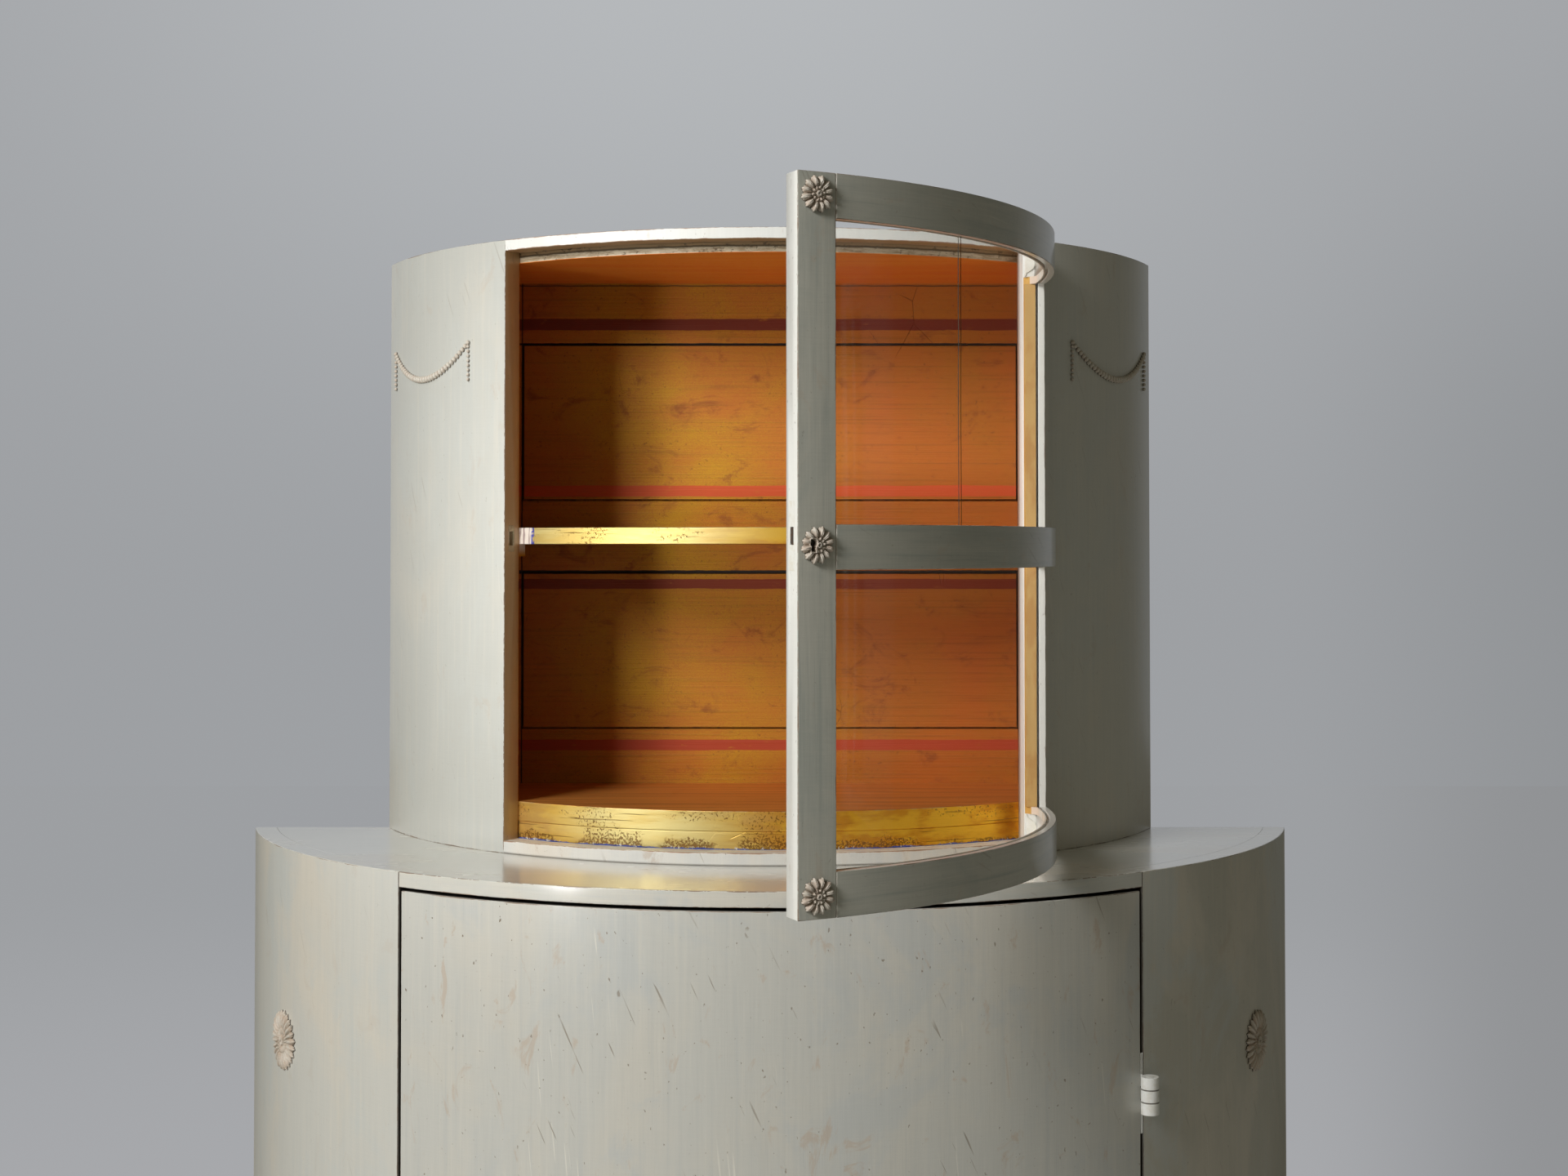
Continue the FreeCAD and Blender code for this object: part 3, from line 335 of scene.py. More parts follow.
# %% [markdown]
# A cupboard board shows several finishes at once: painted outside, bare or gilded inside, a different tone on
# its edges. Instead of cutting the board into zones, one material reads the unrolled place and picks the
# finish there. The helpers start a material, unroll a place, measure how far the board's edges are, wear them,
# and feed the shader.
# %% Helpers for materials
PAINT = (0.61, 0.598, 0.535)
OLDER = (0.655, 0.6, 0.5)
PALE = (0.85, 0.84, 0.78)
COOL = (0.555, 0.57, 0.535)
# This near-black colour is dirt together with painted shade: it darkens gaps between parts and the undersides of
# lips.
SOIL_AND_SHADE = (0.06, 0.048, 0.036)
IN_DOOR = Matrix.Rotation(-DOOR_OPEN, 4, "Z")
DOOR_SHIFT = DOOR_PIN - IN_DOOR @ DOOR_PIN


def new_material(name):
    made = bpy.data.materials.new(name)
    made.use_nodes = True
    tree = Tree(made.node_tree)
    return made, tree, made.node_tree.nodes["Principled BSDF"], tree.add("ShaderNodeTexCoord")["Object"]


def unroll(t, place, tier="up", swung=False):
    """Along, out, up and the unrolled vector of a place. Pieces of the open door are turned back first."""
    if swung:
        place = t.move(place, place=DOOR_SHIFT, turn=(0.0, 0.0, -DOOR_OPEN))
    centre, radius = BOWS[tier]
    return t.use(unrolled_group, Place=place, Centre=centre, Radius=radius)


def edge_distance(t, *pairs):
    """Smallest distance to the edges: each pair is a measure and the value it has at one edge."""
    nearest = None
    for measure, edge in pairs:
        gap = abs(measure - edge)
        nearest = gap if nearest is None else t.math("MINIMUM", nearest, gap)
    return nearest


def worn_arris(t, color, flat, distance, reach, amount, rubbed, tone, chipped):
    """A colour with its paint rubbed to a tone and chipped near an edge, and where it is chipped."""
    arris = t.use(wear_group, Unrolled=flat, Distance=distance, Reach=reach, Amount=amount)
    color = t.mix(arris["Rubbed"] * rubbed, color, tone)
    return t.mix(arris["Chipped"] * 0.8, color, chipped), arris["Chipped"]


def surface(t, shader, color, rough, height, depth, strength=1.0, **more):
    """Feeds a shader its colour, roughness, relief and whatever else is named."""
    bump = t.add("ShaderNodeBump", {"Strength": strength, "Distance": depth, "Height": height})
    t.give(shader.inputs, Base_Color=color, Roughness=rough, Normal=bump[0], **more)


def dress(names, material):
    for name in names:
        nodes[name].data.materials.clear()
        nodes[name].data.materials.append(material)


print("palette", PAINT, PALE)

# %% [markdown]
# The inside of the glazed cupboard is leaf laid over ochre: it shines softly like metal, but brown patina,
# fine cracks and the grain of the boards break the shine. The shine is a dust of very small flakes over a
# reddish ground, and Leaf says how much of it is kept. Each material adds its own bands, joints and dirt.
# %% Group: aged gilding
gilt_group, t, given, result = new_group(
    "aged gilding", dict(Place="Vector", Wear=0.4, Leaf=0.8), "Color", "Roughness", "Metallic", "Relief")
place = given["Place"]
cloud = t.noise(place, (7.0, 7.0, 9.0), 5.0, 0.55, 0.4)
grain = t.noise(place, (6.0, 6.0, 420.0), 4.0, 0.65, 0.3)
speck = t.noise(place, 330.0, 3.0, 0.6)
patch = t.noise(place, (22.0, 22.0, 34.0), 5.0, 0.7, 0.8)
color = t.mix(t.fade(cloud, 0.35, 0.7), (0.4, 0.084, 0.005), (0.325, 0.062, 0.003))
color = t.mix(t.fade(grain, 0.48, 0.7) * 0.6, color, (0.205, 0.042, 0.003))
dirt = t.fade(patch, 0.54, 0.72) * given["Wear"]
color = t.mix(dirt * 0.75, color, (0.16, 0.035, 0.003))
powder = t.noise(place, (3300.0, 3300.0, 4200.0), 1.0, 0.5) + (cloud - 0.5) * 0.5
flakes = t.fade(powder, 0.34, 0.74) * clamped(1.0 - dirt * 0.8)
flakes = flakes * given["Leaf"]
color = t.mix(flakes, color, (0.72, 0.51, 0.022))
spots = t.fade(speck, 0.62, 0.7) * t.fade(cloud, 0.38, 0.55)
color = t.mix(spots * 0.55, color, (0.13, 0.042, 0.006))
cells = t.add("ShaderNodeTexVoronoi", {"Vector": t.move(place, scale=(26.0, 26.0, 15.0)), "Scale": 1.0},
              feature="DISTANCE_TO_EDGE")
cracks = t.fade(cells[0], 0.01, 0.003) * t.blots(place, 9.0, 0.62, 0.7, 2.0)
color = t.mix(cracks * 0.6, color, (0.14, 0.045, 0.008))
rough = 0.5 + (grain * 0.12 + dirt * 0.15)
relief = grain * 0.6 + cloud * 0.4 - cracks * 0.8
t.give(result, Color=color, Roughness=rough, Metallic=flakes * 0.9, Relief=relief)
print(gilt_group.name, len(gilt_group.nodes), "nodes")

# %% [markdown]
# The back of the glazed cupboard: gilding with red bands that run over stiles and panels alike, so they are
# painted by height alone. The edges of each band wander a little, as a hand-drawn line does.
# %% Material: gilded back
BANDS = (
    (0.5305, 0.5427, (0.16, 0.018, 0.003)),
    (0.3531, 0.3648, (0.53, 0.074, 0.012)),
    (0.2548, 0.2652, (0.205, 0.027, 0.003)),
    (0.0834, 0.0947, (0.37, 0.042, 0.009)),
)
BAND_SOFT = 0.0004
RULES = ((0.578, 0.0009, 0.8), (0.5155, 0.0017, 1.0), (0.106, 0.0006, 0.1))
THIN_JOINTS, WIDE_JOINT, STILE_JOINT = (LOW_TOP + 0.3469, LOW_TOP + 0.106), LOW_TOP + 0.2726, 0.2642
INK = (0.012, 0.006, 0.003)


def red_bands(t, color, up, place):
    """Lays the bands over a colour, their edges a little ragged, and says where they lie."""
    ragged = (t.noise(place, (22.0, 22.0, 60.0), 4.0, 0.7) - 0.5) * 0.0026
    high = up + ragged
    cover = t.blots(place, (60.0, 60.0, 200.0), 0.12, 0.4, 3.0, 0.6)
    banded = 0.0
    for low, top, red in BANDS:
        foot, head = LOW_TOP + low, LOW_TOP + top
        inside = t.fade(high, foot - BAND_SOFT, foot + BAND_SOFT) * t.fade(high, head + BAND_SOFT, head - BAND_SOFT)
        color = t.mix(inside * cover, color, red)
        banded = t.most(inside, banded)
    return color, banded


gilt_back, t, shader, place = new_material("gilded back")
x, y, z = t.split(place)
# More of the yellow leaf flakes lie around x = -0.1 than elsewhere: a painted sheen, laid where the lamp's shine
# falls on the back.
sheen_patch = t.fade(abs(x + 0.1), 0.22, 0.01)
sheen_patch = 0.22 + sheen_patch * 0.56
leaf = t.use(gilt_group, Place=place, Wear=0.85, Leaf=sheen_patch)
color, banded = red_bands(t, leaf["Color"], z, place)
wander = (t.noise(place, (50.0, 1.0, 50.0), 4.0, 0.7) - 0.5) * 0.0018
wavy = z + wander
for height, half, share in RULES:
    line = t.fade(abs(wavy - (LOW_TOP + height)), half, half * 0.4)
    color = t.mix(line * share, color, INK)
stiles = abs(abs(x) + wander - STILE_JOINT)
color = t.mix(t.fade(stiles, 0.001, 0.0005) * 0.9, color, INK)
inner = t.fade(y, -0.0105, -0.0135)
thin_joint = t.fade(edge_distance(t, *[(z, joint) for joint in THIN_JOINTS]), 0.004, 0.002)
filled = t.blots(place, (60.0, 1.0, 1.0), 0.4, 0.5, 4.0, 0.7)
filled = thin_joint * (0.5 + filled * 0.4)
inner = t.most(inner, filled * t.fade(y, -0.002, -0.006))
wide_joint = abs(wavy - WIDE_JOINT)
color = t.mix(t.fade(wide_joint, 0.0022, 0.0015), color, INK)
color = t.mix(inner, (0.03, 0.014, 0.006), color)
outside = t.fade(y, -0.002, -0.0006)
bare = t.mix(t.noise(place, (9.0, 9.0, 3.0), 5.0, 0.7), (0.3, 0.215, 0.13), (0.185, 0.12, 0.068))
color = t.mix(outside, color, bare)
leafy = leaf["Metallic"] * (1.0 - banded * 0.8)
surface(t, shader, color, t.most(leaf["Roughness"], outside * 0.8), leaf["Relief"], 0.0008,
        Metallic=leafy * (inner * (1.0 - outside)))
dress([n for n in nodes if n.startswith("upper_back")], gilt_back)
print("bands", len(BANDS))

# %% [markdown]
# The side boards, the door's frame and the base are all bowed boards: painted on the face, another finish on
# the inner face, and a paler coat on the narrow edges. One function makes the material for any of them. It
# tells the faces apart by how far out a place lies, and lets the wear follow the arris, which is where the
# distance to the face and to the board's end are both small.
# %% Materials: bowed boards
BARE = ((0.33, 0.235, 0.14), (0.205, 0.135, 0.075))
CHIPPED = (0.2, 0.12, 0.065)
COAT_ROUGH = 0.16


def bare_wood(t, place, grain_up=True):
    scale = (70.0, 70.0, 3.0) if grain_up else (3.0, 70.0, 70.0)
    grain = t.noise(place, scale, 4.0, 0.65, 0.5)
    tone = t.mix(t.fade(grain, 0.35, 0.68), BARE[0], BARE[1])
    return t.mix(t.blots(place, 6.0, 0.45, 0.7, 4.0), tone, (0.24, 0.17, 0.11)), grain


def waxed_over(t, place, up, color, rough, lift):
    """The share of a place that is on the flat top, and colour, roughness and relief with the wax laid there."""
    top = t.fade(up, LOW_TOP - 0.0008, LOW_TOP - 0.0002)
    painted, wax = 1.0 - top, t.use(wax_group, Place=place)
    return top, t.mix(top, color, wax["Color"]), rough * painted + top * wax["Roughness"], lift * painted


def bowed_board(name, tier, ends, heights, wall, inside="bare", edge=PALE, swung=False, paint=PAINT, older=OLDER,
                cool=COOL, wear=0.35, reach=0.0026, scuffs=0.4, clouds=0.35, streaks=0.25, deep_joint=False,
                sideways=False, waxed=False, corner=None):
    material, t, shader, place = new_material(name)
    along, out, up, flat = unroll(t, place, tier, swung)
    brushed = t.vector(up, out, along) if sideways else flat
    worn = scuffs
    if corner:
        near = t.fade(along, corner[0] + 0.17, corner[0]) * t.fade(up, corner[1] - 0.13, corner[1])
        worn = scuffs + near * 2.4
    coat = t.use(paint_group, Unrolled=brushed, Paint=paint, Older_Coat=older, Cool_Coat=cool, Clouds=clouds,
                 Streaks=streaks, Scuffs=worn)
    side_coat = t.use(paint_group, Unrolled=flat, Paint=edge, Older_Coat=tuple(v * 0.9 for v in edge),
                      Cool_Coat=tuple(v * 0.96 for v in edge), Clouds=0.6, Streaks=0.2, Scuffs=scuffs)
    side_color = side_coat["Color"]
    end_pairs = [(along, math.radians(a) * BOWS[tier][1]) for a in ends]
    to_end = edge_distance(t, *end_pairs, *[(up, h) for h in heights])
    if deep_joint:
        # Painted shade: the board's end faces are darkened near black deep in the gaps at its ends.
        gap_shade = t.fade(out, -0.0008, -0.003) * t.fade(to_end, 0.012, 0.008)
        side_color = t.mix(gap_shade, side_color, SOIL_AND_SHADE)
    face = t.fade(out, -0.001, -0.0004)
    color = t.mix(face, side_color, coat["Color"])
    rough, lift, shine, metal = coat["Roughness"], coat["Relief"], 0.6, 0.0
    inner = t.fade(out, -wall + 0.0012, -wall + 0.0004)
    if inside == "gilt":
        leaf = t.use(gilt_group, Place=flat, Wear=0.5)
        # The inside leaf is mixed with a brighter orange: painted light, standing in for light bounced round the
        # gilded inside.
        gilded, _ = red_bands(t, t.mix(0.45, leaf["Color"], (0.62, 0.2, 0.02)), up, flat)
        color = t.mix(inner, color, gilded)
        metal = inner * (leaf["Metallic"] * 0.5)
        rough = t.most(rough, inner * leaf["Roughness"])
    elif inside == "bare":
        wood, _ = bare_wood(t, flat)
        color = t.mix(inner, color, wood)
        rough = t.most(rough, inner * 0.75)
    if not swung:
        wood, _ = bare_wood(t, flat)
        color = t.mix(t.fade(t.split(place)[1], -0.002, -0.0006), color, wood)
    gap = t.most(to_end, abs(out))
    # The rubbed arris is pale: worn paint, and a painted highlight along the edge.
    color, chipped = worn_arris(t, color, flat, gap, reach, wear, 0.6, (0.76, 0.715, 0.64), CHIPPED)
    lift = lift - chipped * 1.2
    if deep_joint:
        # A ragged dark line along each end joint: dirt and painted shade of the gap.
        to_joint = edge_distance(t, *end_pairs)
        ragged = to_joint + t.noise(flat, (90.0, 90.0, 60.0), 3.0, 0.7) * 0.0008
        color = t.mix(t.fade(ragged, 0.0015, 0.0009) * 0.8, color, SOIL_AND_SHADE)
    if sideways:
        seam = edge_distance(t, *end_pairs)
        pale = t.fade(seam, 0.0011, 0.0005) * t.blots(flat, (200.0, 200.0, 90.0), 0.36, 0.5, 3.0, 0.7)
        color = t.mix(pale * 0.8, color, (0.76, 0.73, 0.64))
    if waxed:
        top, color, rough, lift = waxed_over(t, place, up, color, rough, lift)
        shine = 0.6 + top * 0.4
    surface(t, shader, color, rough, lift, 0.00022, Metallic=metal, Coat_Weight=shine, Coat_Roughness=COAT_ROUGH,
            Coat_IOR=1.62 if waxed else 1.5)
    return material


deg = math.degrees
UP_ENDS, LOW_ENDS = deg(UP_JAMB), deg(LOW_JAMB)
DOOR_ENDS, LOW_DOOR_ENDS = deg(DOOR_HALF), deg(LOW_DOOR_HALF)
PANE_ENDS = DOOR_ENDS - deg(0.034 / UP_RADIUS)
TAN = (0.64, 0.45, 0.24)
DOOR_PAINT = dict(paint=(0.548, 0.54, 0.49), older=(0.585, 0.555, 0.48), cool=(0.5, 0.512, 0.49))
side_common = dict(inside="gilt", edge=TAN, wear=0.25, reach=0.0018)
base_common = dict(deep_joint=True, waxed=True, clouds=0.75)
board_materials = {
    # The upper left side is painted darker than the right: painted shade on the side that faces the lamp.
    "upper_side_left": bowed_board("upper left side paint", "up", (-UP_ENDS,), (LOW_TOP, UP_TOP), UP_WALL,
                                   paint=(0.535, 0.533, 0.486), clouds=0.3, **side_common),
    "upper_side_right": bowed_board("upper right side paint", "up", (UP_ENDS,), (LOW_TOP, UP_TOP), UP_WALL,
                                    paint=(0.6, 0.59, 0.525), clouds=0.4, **side_common),
    "lower_side_left": bowed_board("lower left side paint", "low", (-LOW_ENDS,), (BASE_FOOT, LOW_TOP), LOW_WALL,
                                   paint=(0.59, 0.578, 0.52), scuffs=0.25, **base_common),
    "lower_side_right": bowed_board("lower right side paint", "low", (LOW_ENDS,), (BASE_FOOT, LOW_TOP), LOW_WALL,
                                    paint=(0.53, 0.508, 0.43), scuffs=0.5, **base_common),
    "lower_front_rail": bowed_board("front rail paint", "low", (-LOW_ENDS, LOW_ENDS),
                                    (BASE_FOOT, FRONT_RAIL_TOP), LOW_WALL, deep_joint=True),
    "lower_door_panel": bowed_board("lower door paint", "low", (-LOW_DOOR_ENDS, LOW_DOOR_ENDS),
                                    (LOW_DOOR_FOOT, LOW_DOOR_HEAD), LOW_DOOR_WALL, wear=0.55, reach=0.0022,
                                    scuffs=1.0, clouds=0.7, streaks=0.35, deep_joint=True,
                                    corner=(-LOW_DOOR_HALF * LOW_RADIUS, LOW_DOOR_HEAD), **DOOR_PAINT),
}
# The door frame's paint is darker than the body's: painted shade, a shaded copy of the same paint.
SHADED_FRAME_PAINT = dict(paint=(0.505, 0.5, 0.435), older=(0.52, 0.508, 0.44), cool=(0.425, 0.442, 0.395))
door_limits = {
    "door_lock_stile": ((-DOOR_ENDS, -PANE_ENDS), (DOOR_FOOT, DOOR_HEAD)),
    "door_hinge_stile": ((PANE_ENDS, DOOR_ENDS), (DOOR_FOOT, DOOR_HEAD)),
    "door_top_rail": ((-PANE_ENDS, PANE_ENDS), (DOOR_HEAD - RAIL_TALL, DOOR_HEAD)),
    "door_middle_rail": ((-PANE_ENDS, PANE_ENDS), MIDDLE_RAIL),
    "door_bottom_rail": ((-PANE_ENDS, PANE_ENDS), (DOOR_FOOT, DOOR_FOOT + RAIL_TALL)),
}
for name, (ends, heights) in door_limits.items():
    board_materials[name] = bowed_board(name.replace("_", " ") + " paint", "up", ends, heights, DOOR_WALL, "paint",
                                        swung=True, wear=0.35, reach=0.0016, scuffs=0.45, clouds=0.6, streaks=0.95,
                                        sideways="rail" in name, **SHADED_FRAME_PAINT)
for name, material in board_materials.items():
    dress([name], material)
print(len(board_materials), "bowed boards dressed")

# %% [markdown]
# The top board of the glazed cupboard shows four finishes in a few centimetres: the pale lip over the
# opening, the underside of that lip in painted shade, the worn front edge of the board behind it, and the gilded
# ceiling, painted bright as light bounced from the gilding.
# The base board is the pale sill that the door closes against; its edge is rubbed pinkish by the door.
# %% Materials: upper top and sill
roof, t, shader, place = new_material("upper top paint")
_, out, up, flat = unroll(t, place)
coat = t.use(paint_group, Unrolled=flat, Paint=(0.8, 0.8, 0.755), Older_Coat=(0.78, 0.735, 0.65),
             Cool_Coat=(0.75, 0.76, 0.73), Clouds=0.4, Streaks=0.15, Scuffs=0.5)
behind = t.fade(out, -0.0195, -0.0209)
wavy = up + (t.noise(flat, (70.0, 70.0, 20.0), 4.0, 0.7) - 0.5) * 0.0022
worn_strip = t.mix(t.blots(flat, (60.0, 60.0, 420.0), 0.42, 0.6, 4.0, 0.7), (0.66, 0.56, 0.4),
                   (0.42, 0.31, 0.19))
front = t.mix(t.fade(wavy, UP_TOP - 0.0158, UP_TOP - 0.015), worn_strip, (0.145, 0.1, 0.055))
front = t.mix(t.fade(wavy, UP_TOP - 0.0142, UP_TOP - 0.013), front, (0.44, 0.28, 0.14))
chips = t.blots(flat, (170.0, 170.0, 240.0), 0.6, 0.66, 3.0, 0.7)
front = t.mix(chips * 0.7, front, (0.13, 0.08, 0.04))
color = t.mix(behind, coat["Color"], front)
leaf = t.use(gilt_group, Place=place, Wear=0.35)
grain = t.noise(place, (4.0, 70.0, 70.0), 4.0, 0.65, 0.4)
# The ceiling is painted a bright orange: painted light, standing in for the light that the gilded floor and shelf
# throw up onto it.
painted_bounce_ceiling = t.mix(t.fade(grain, 0.36, 0.64), (1.0, 0.33, 0.042), (0.96, 0.24, 0.028))
ceiling = t.fade(up, UP_TOP - 0.0202, UP_TOP - 0.0208) * behind
color = t.mix(ceiling, color, t.mix(0.12, painted_bounce_ceiling, leaf["Color"]))
# Painted shade: the lip's underside is painted a dark warm brown, tinted like light bounced off the gilding.
shaded_underside = t.fade(up, UP_TOP - 0.01, UP_TOP - 0.0105) * t.fade(out, -0.001, -0.0016)
shaded_underside = shaded_underside * (1.0 - behind)
color = t.mix(shaded_underside, color, (0.48, 0.29, 0.135))
on_top = t.fade(up, UP_TOP - 0.0008, UP_TOP - 0.0002)
dusty, _ = bare_wood(t, place, False)
color = t.mix(on_top * t.fade(out, -0.004, -0.012), color, t.mix(0.55, dusty, (0.42, 0.4, 0.35)))
gap = t.most(abs(out), edge_distance(t, (up, UP_TOP), (up, ROOF_LIP)))
color, _ = worn_arris(t, color, flat, gap, 0.002, 0.55, 0.65, (0.64, 0.46, 0.32), (0.26, 0.13, 0.07))
surface(t, shader, color, coat["Roughness"], coat["Relief"] - chips * behind, 0.0003)
dress(["upper_top_board"], roof)

sill, t, shader, place = new_material("sill paint")
_, out, up, flat = unroll(t, place)
coat = t.use(paint_group, Unrolled=flat, Paint=(0.69, 0.67, 0.61), Older_Coat=(0.7, 0.62, 0.51),
             Cool_Coat=(0.62, 0.62, 0.59), Clouds=0.6, Streaks=0.2, Scuffs=0.9)
rub = t.fade(abs(out + 0.0125), 0.0035, 0.0004) * t.blots(flat, (30.0, 90.0, 30.0), 0.42, 0.56, 4.0, 0.7)
color = t.mix(rub * 0.65, coat["Color"], (0.62, 0.33, 0.22))
gap = t.most(abs(out), edge_distance(t, (up, LOW_TOP + 0.0122)))
color, _ = worn_arris(t, color, flat, gap, 0.0022, 0.6, 0.7, (0.64, 0.47, 0.35), (0.28, 0.15, 0.08))
# Darker along the foot, where the sill meets the base top.
darker_foot = t.fade(up, LOW_TOP + 0.0022, LOW_TOP + 0.0002) * t.fade(out, -0.003, -0.0005)
color = t.mix(darker_foot * 0.7, color, (0.1, 0.08, 0.055))
behind = t.fade(out, -0.0185, -0.0205) * t.fade(out, -0.03, -0.027)
blue = behind * t.blots(flat, (24.0, 60.0, 60.0), 0.5, 0.56, 4.0, 0.75)
color = t.mix(blue, color, (0.05, 0.085, 0.36))
wood, _ = bare_wood(t, place, False)
color = t.mix(t.fade(t.split(place)[1], -0.002, -0.0006), color, wood)
surface(t, shader, color, coat["Roughness"], coat["Relief"], 0.0003)
dress(["upper_base_board"], sill)
print("top and sill dressed")

# %% [markdown]
# The shelf, the floor and the riser under it are gilded on their front edges, which catch the light and carry
# most wear: long cracks along the grain, brown stippling towards the foot, crumbs of an older blue paint under
# the last coat. The floor itself is varnished to a reddish brown.
# %% Materials: gilded shelf and floor
gold_edge, t, shader, place = new_material("gilded edges")
along, out, up, flat = unroll(t, place)
leaf = t.use(gilt_group, Place=flat, Wear=0.45)
front = t.fade(out, -0.0228, -0.022)
# Left of the middle the edges are painted a paler gold than the deep gold to the right: a painted highlight where
# the lamp shines back off them; low on the far left it is half way to the deep gold.
highlit_gold = t.mix(t.blots(flat, (9.0, 9.0, 60.0), 0.4, 0.65, 4.0, 0.6), (0.56, 0.46, 0.19), (0.51, 0.365, 0.108))
deep_gold = t.mix(t.blots(flat, (20.0, 20.0, 60.0), 0.42, 0.6, 4.0, 0.6), (0.9, 0.5, 0.032),
                  (0.72, 0.31, 0.016))
far_left = t.fade(along, -0.17, -0.25) * t.fade(up, LOW_TOP + 0.2, LOW_TOP + 0.1)
highlit_gold = t.mix(t.most(t.fade(along, -0.1, 0.06), far_left * 0.5), highlit_gold, deep_gold)
color = t.mix(front, leaf["Color"], highlit_gold)
lines = t.blots(flat, (9.0, 9.0, 420.0), 0.64, 0.7, 3.0, 0.6, 0.6)
color = t.mix(lines * 0.55, color, (0.2, 0.085, 0.015))
low = t.fade(up, LOW_TOP + 0.03, LOW_TOP + 0.0125) * front
dots = t.noise(flat, 420.0, 3.0, 0.6) + low * 0.12
patches = t.noise(flat, (14.0, 14.0, 30.0), 3.0, 0.6) + low * 0.14
stipple = t.fade(dots, 0.56, 0.63) * t.fade(patches, 0.52, 0.6)
color = t.mix(stipple * 0.75, color, (0.17, 0.06, 0.012))
uneven = up - t.noise(flat, (40.0, 40.0, 10.0), 4.0, 0.75) * 0.006
residue = front * t.fade(uneven, LOW_TOP + 0.0105, LOW_TOP + 0.01)
color = t.mix(residue, color, (0.06, 0.095, 0.38))
whites = t.fade(up, LOW_TOP + 0.0155, LOW_TOP + 0.013) * t.blots(flat, (260.0, 260.0, 160.0), 0.6, 0.64, 3.0, 0.6)
color = t.mix(whites * front, color, (0.74, 0.7, 0.6))
floor_top = t.fade(up, LOW_TOP + 0.048, LOW_TOP + 0.0485) * t.fade(up, LOW_TOP + 0.05, LOW_TOP + 0.049)
boards = t.noise(place, (4.0, 90.0, 90.0), 4.0, 0.65, 0.3)
brown = t.mix(t.fade(boards, 0.36, 0.66), (0.78, 0.32, 0.066), (0.6, 0.225, 0.044))
color = t.mix(floor_top, color, brown)
shelf_top = t.fade(up, LOW_TOP + 0.318, LOW_TOP + 0.3183)
color = t.mix(shelf_top, color, (0.64, 0.38, 0.11))
gap = t.most(abs(out + 0.0213), edge_distance(t, (up, FLOOR_TOP), (up, SHELF_TOP)))
arris = t.fade(gap, 0.0016, 0.0004) * t.blots(flat, 60.0, 0.45, 0.6, 3.0, 0.7)
color = t.mix(arris * 0.5, color, (0.62, 0.47, 0.22))
at_shelf = t.fade(up, LOW_TOP + 0.29, LOW_TOP + 0.3)
end = t.fade(along, -UP_JAMB * UP_RADIUS + 0.0195, -UP_JAMB * UP_RADIUS + 0.0165) * at_shelf
streak = t.blots(flat, (420.0, 20.0, 30.0), 0.44, 0.56, 2.0, 0.5)
color = t.mix(end, color, t.mix(streak, (0.66, 0.58, 0.5), (0.3, 0.22, 0.2)))
crumb = t.fade(abs(along + (UP_JAMB * UP_RADIUS - 0.0185)), 0.0028, 0.0014) * at_shelf
crumb = crumb * t.blots(flat, (240.0, 240.0, 160.0), 0.44, 0.52, 3.0, 0.6)
color = t.mix(crumb, color, (0.075, 0.08, 0.33))
leafy = clamped(1.0 - t.most(residue, end))
surface(t, shader, color, leaf["Roughness"] - front * 0.08, leaf["Relief"] - (lines + stipple), 0.0004,
        Metallic=clamped((0.7 + front * 0.1) * leafy))
dress(["upper_floor_board", "upper_floor_riser", "upper_shelf"], gold_edge)
dress(["upper_shelf_cleat_left", "upper_shelf_cleat_right"], gold_edge)
print("shelf and floor dressed")

# %% [markdown]
# The wide top of the base is painted like the rest but kept smooth and waxed, so it mirrors the gilded edge
# softly. The lip under it is part of the same board.
# %% Material: lower top
low_top, t, shader, place = new_material("lower top paint")
along, out, up, flat = unroll(t, place, "low")
coat = t.use(paint_group, Unrolled=t.vector(up, out, along), Paint=(0.565, 0.56, 0.505), Older_Coat=OLDER,
             Clouds=0.5, Streaks=0.45, Scuffs=0.4)
top, color, rough, lift = waxed_over(t, place, up, *[coat[part] for part in ("Color", "Roughness", "Relief")])
# Painted shade: the underside of the lip is painted near black.
shaded_underside = t.fade(up, LOW_TOP - 0.0138, LOW_TOP - 0.0146) * t.fade(out, -0.001, -0.0016)
color = t.mix(shaded_underside, color, SOIL_AND_SHADE)
gap = t.most(abs(out), edge_distance(t, (up, LOW_TOP), (up, LOW_LIP)))
# The rubbed arris is pale: worn paint, and a painted highlight along the edge.
color, _ = worn_arris(t, color, flat, gap, 0.0022, 0.3, 0.6, (0.76, 0.725, 0.65), CHIPPED)
surface(t, shader, color, rough, lift, 0.0002, Coat_Weight=0.3 + top * 0.7, Coat_Roughness=COAT_ROUGH,
        Coat_IOR=1.9)
dress(["lower_top_board"], low_top)
print("lower top dressed")

# %% [markdown]
# What stays out of sight is plain: bare boards inside the base, feet painted and scuffed, iron lock cases and
# pins, small brass hinges. Each still gets its own grain or patina, because the doors open.
# %% Materials: bare boards, feet, metal
bare, t, shader, place = new_material("bare boards")
wood, grain = bare_wood(t, place, False)
surface(t, shader, wood, 0.62 + grain * 0.25, grain, 0.0004)
dress(["lower_bottom_board", "lower_shelf", "lower_back_board"], bare)

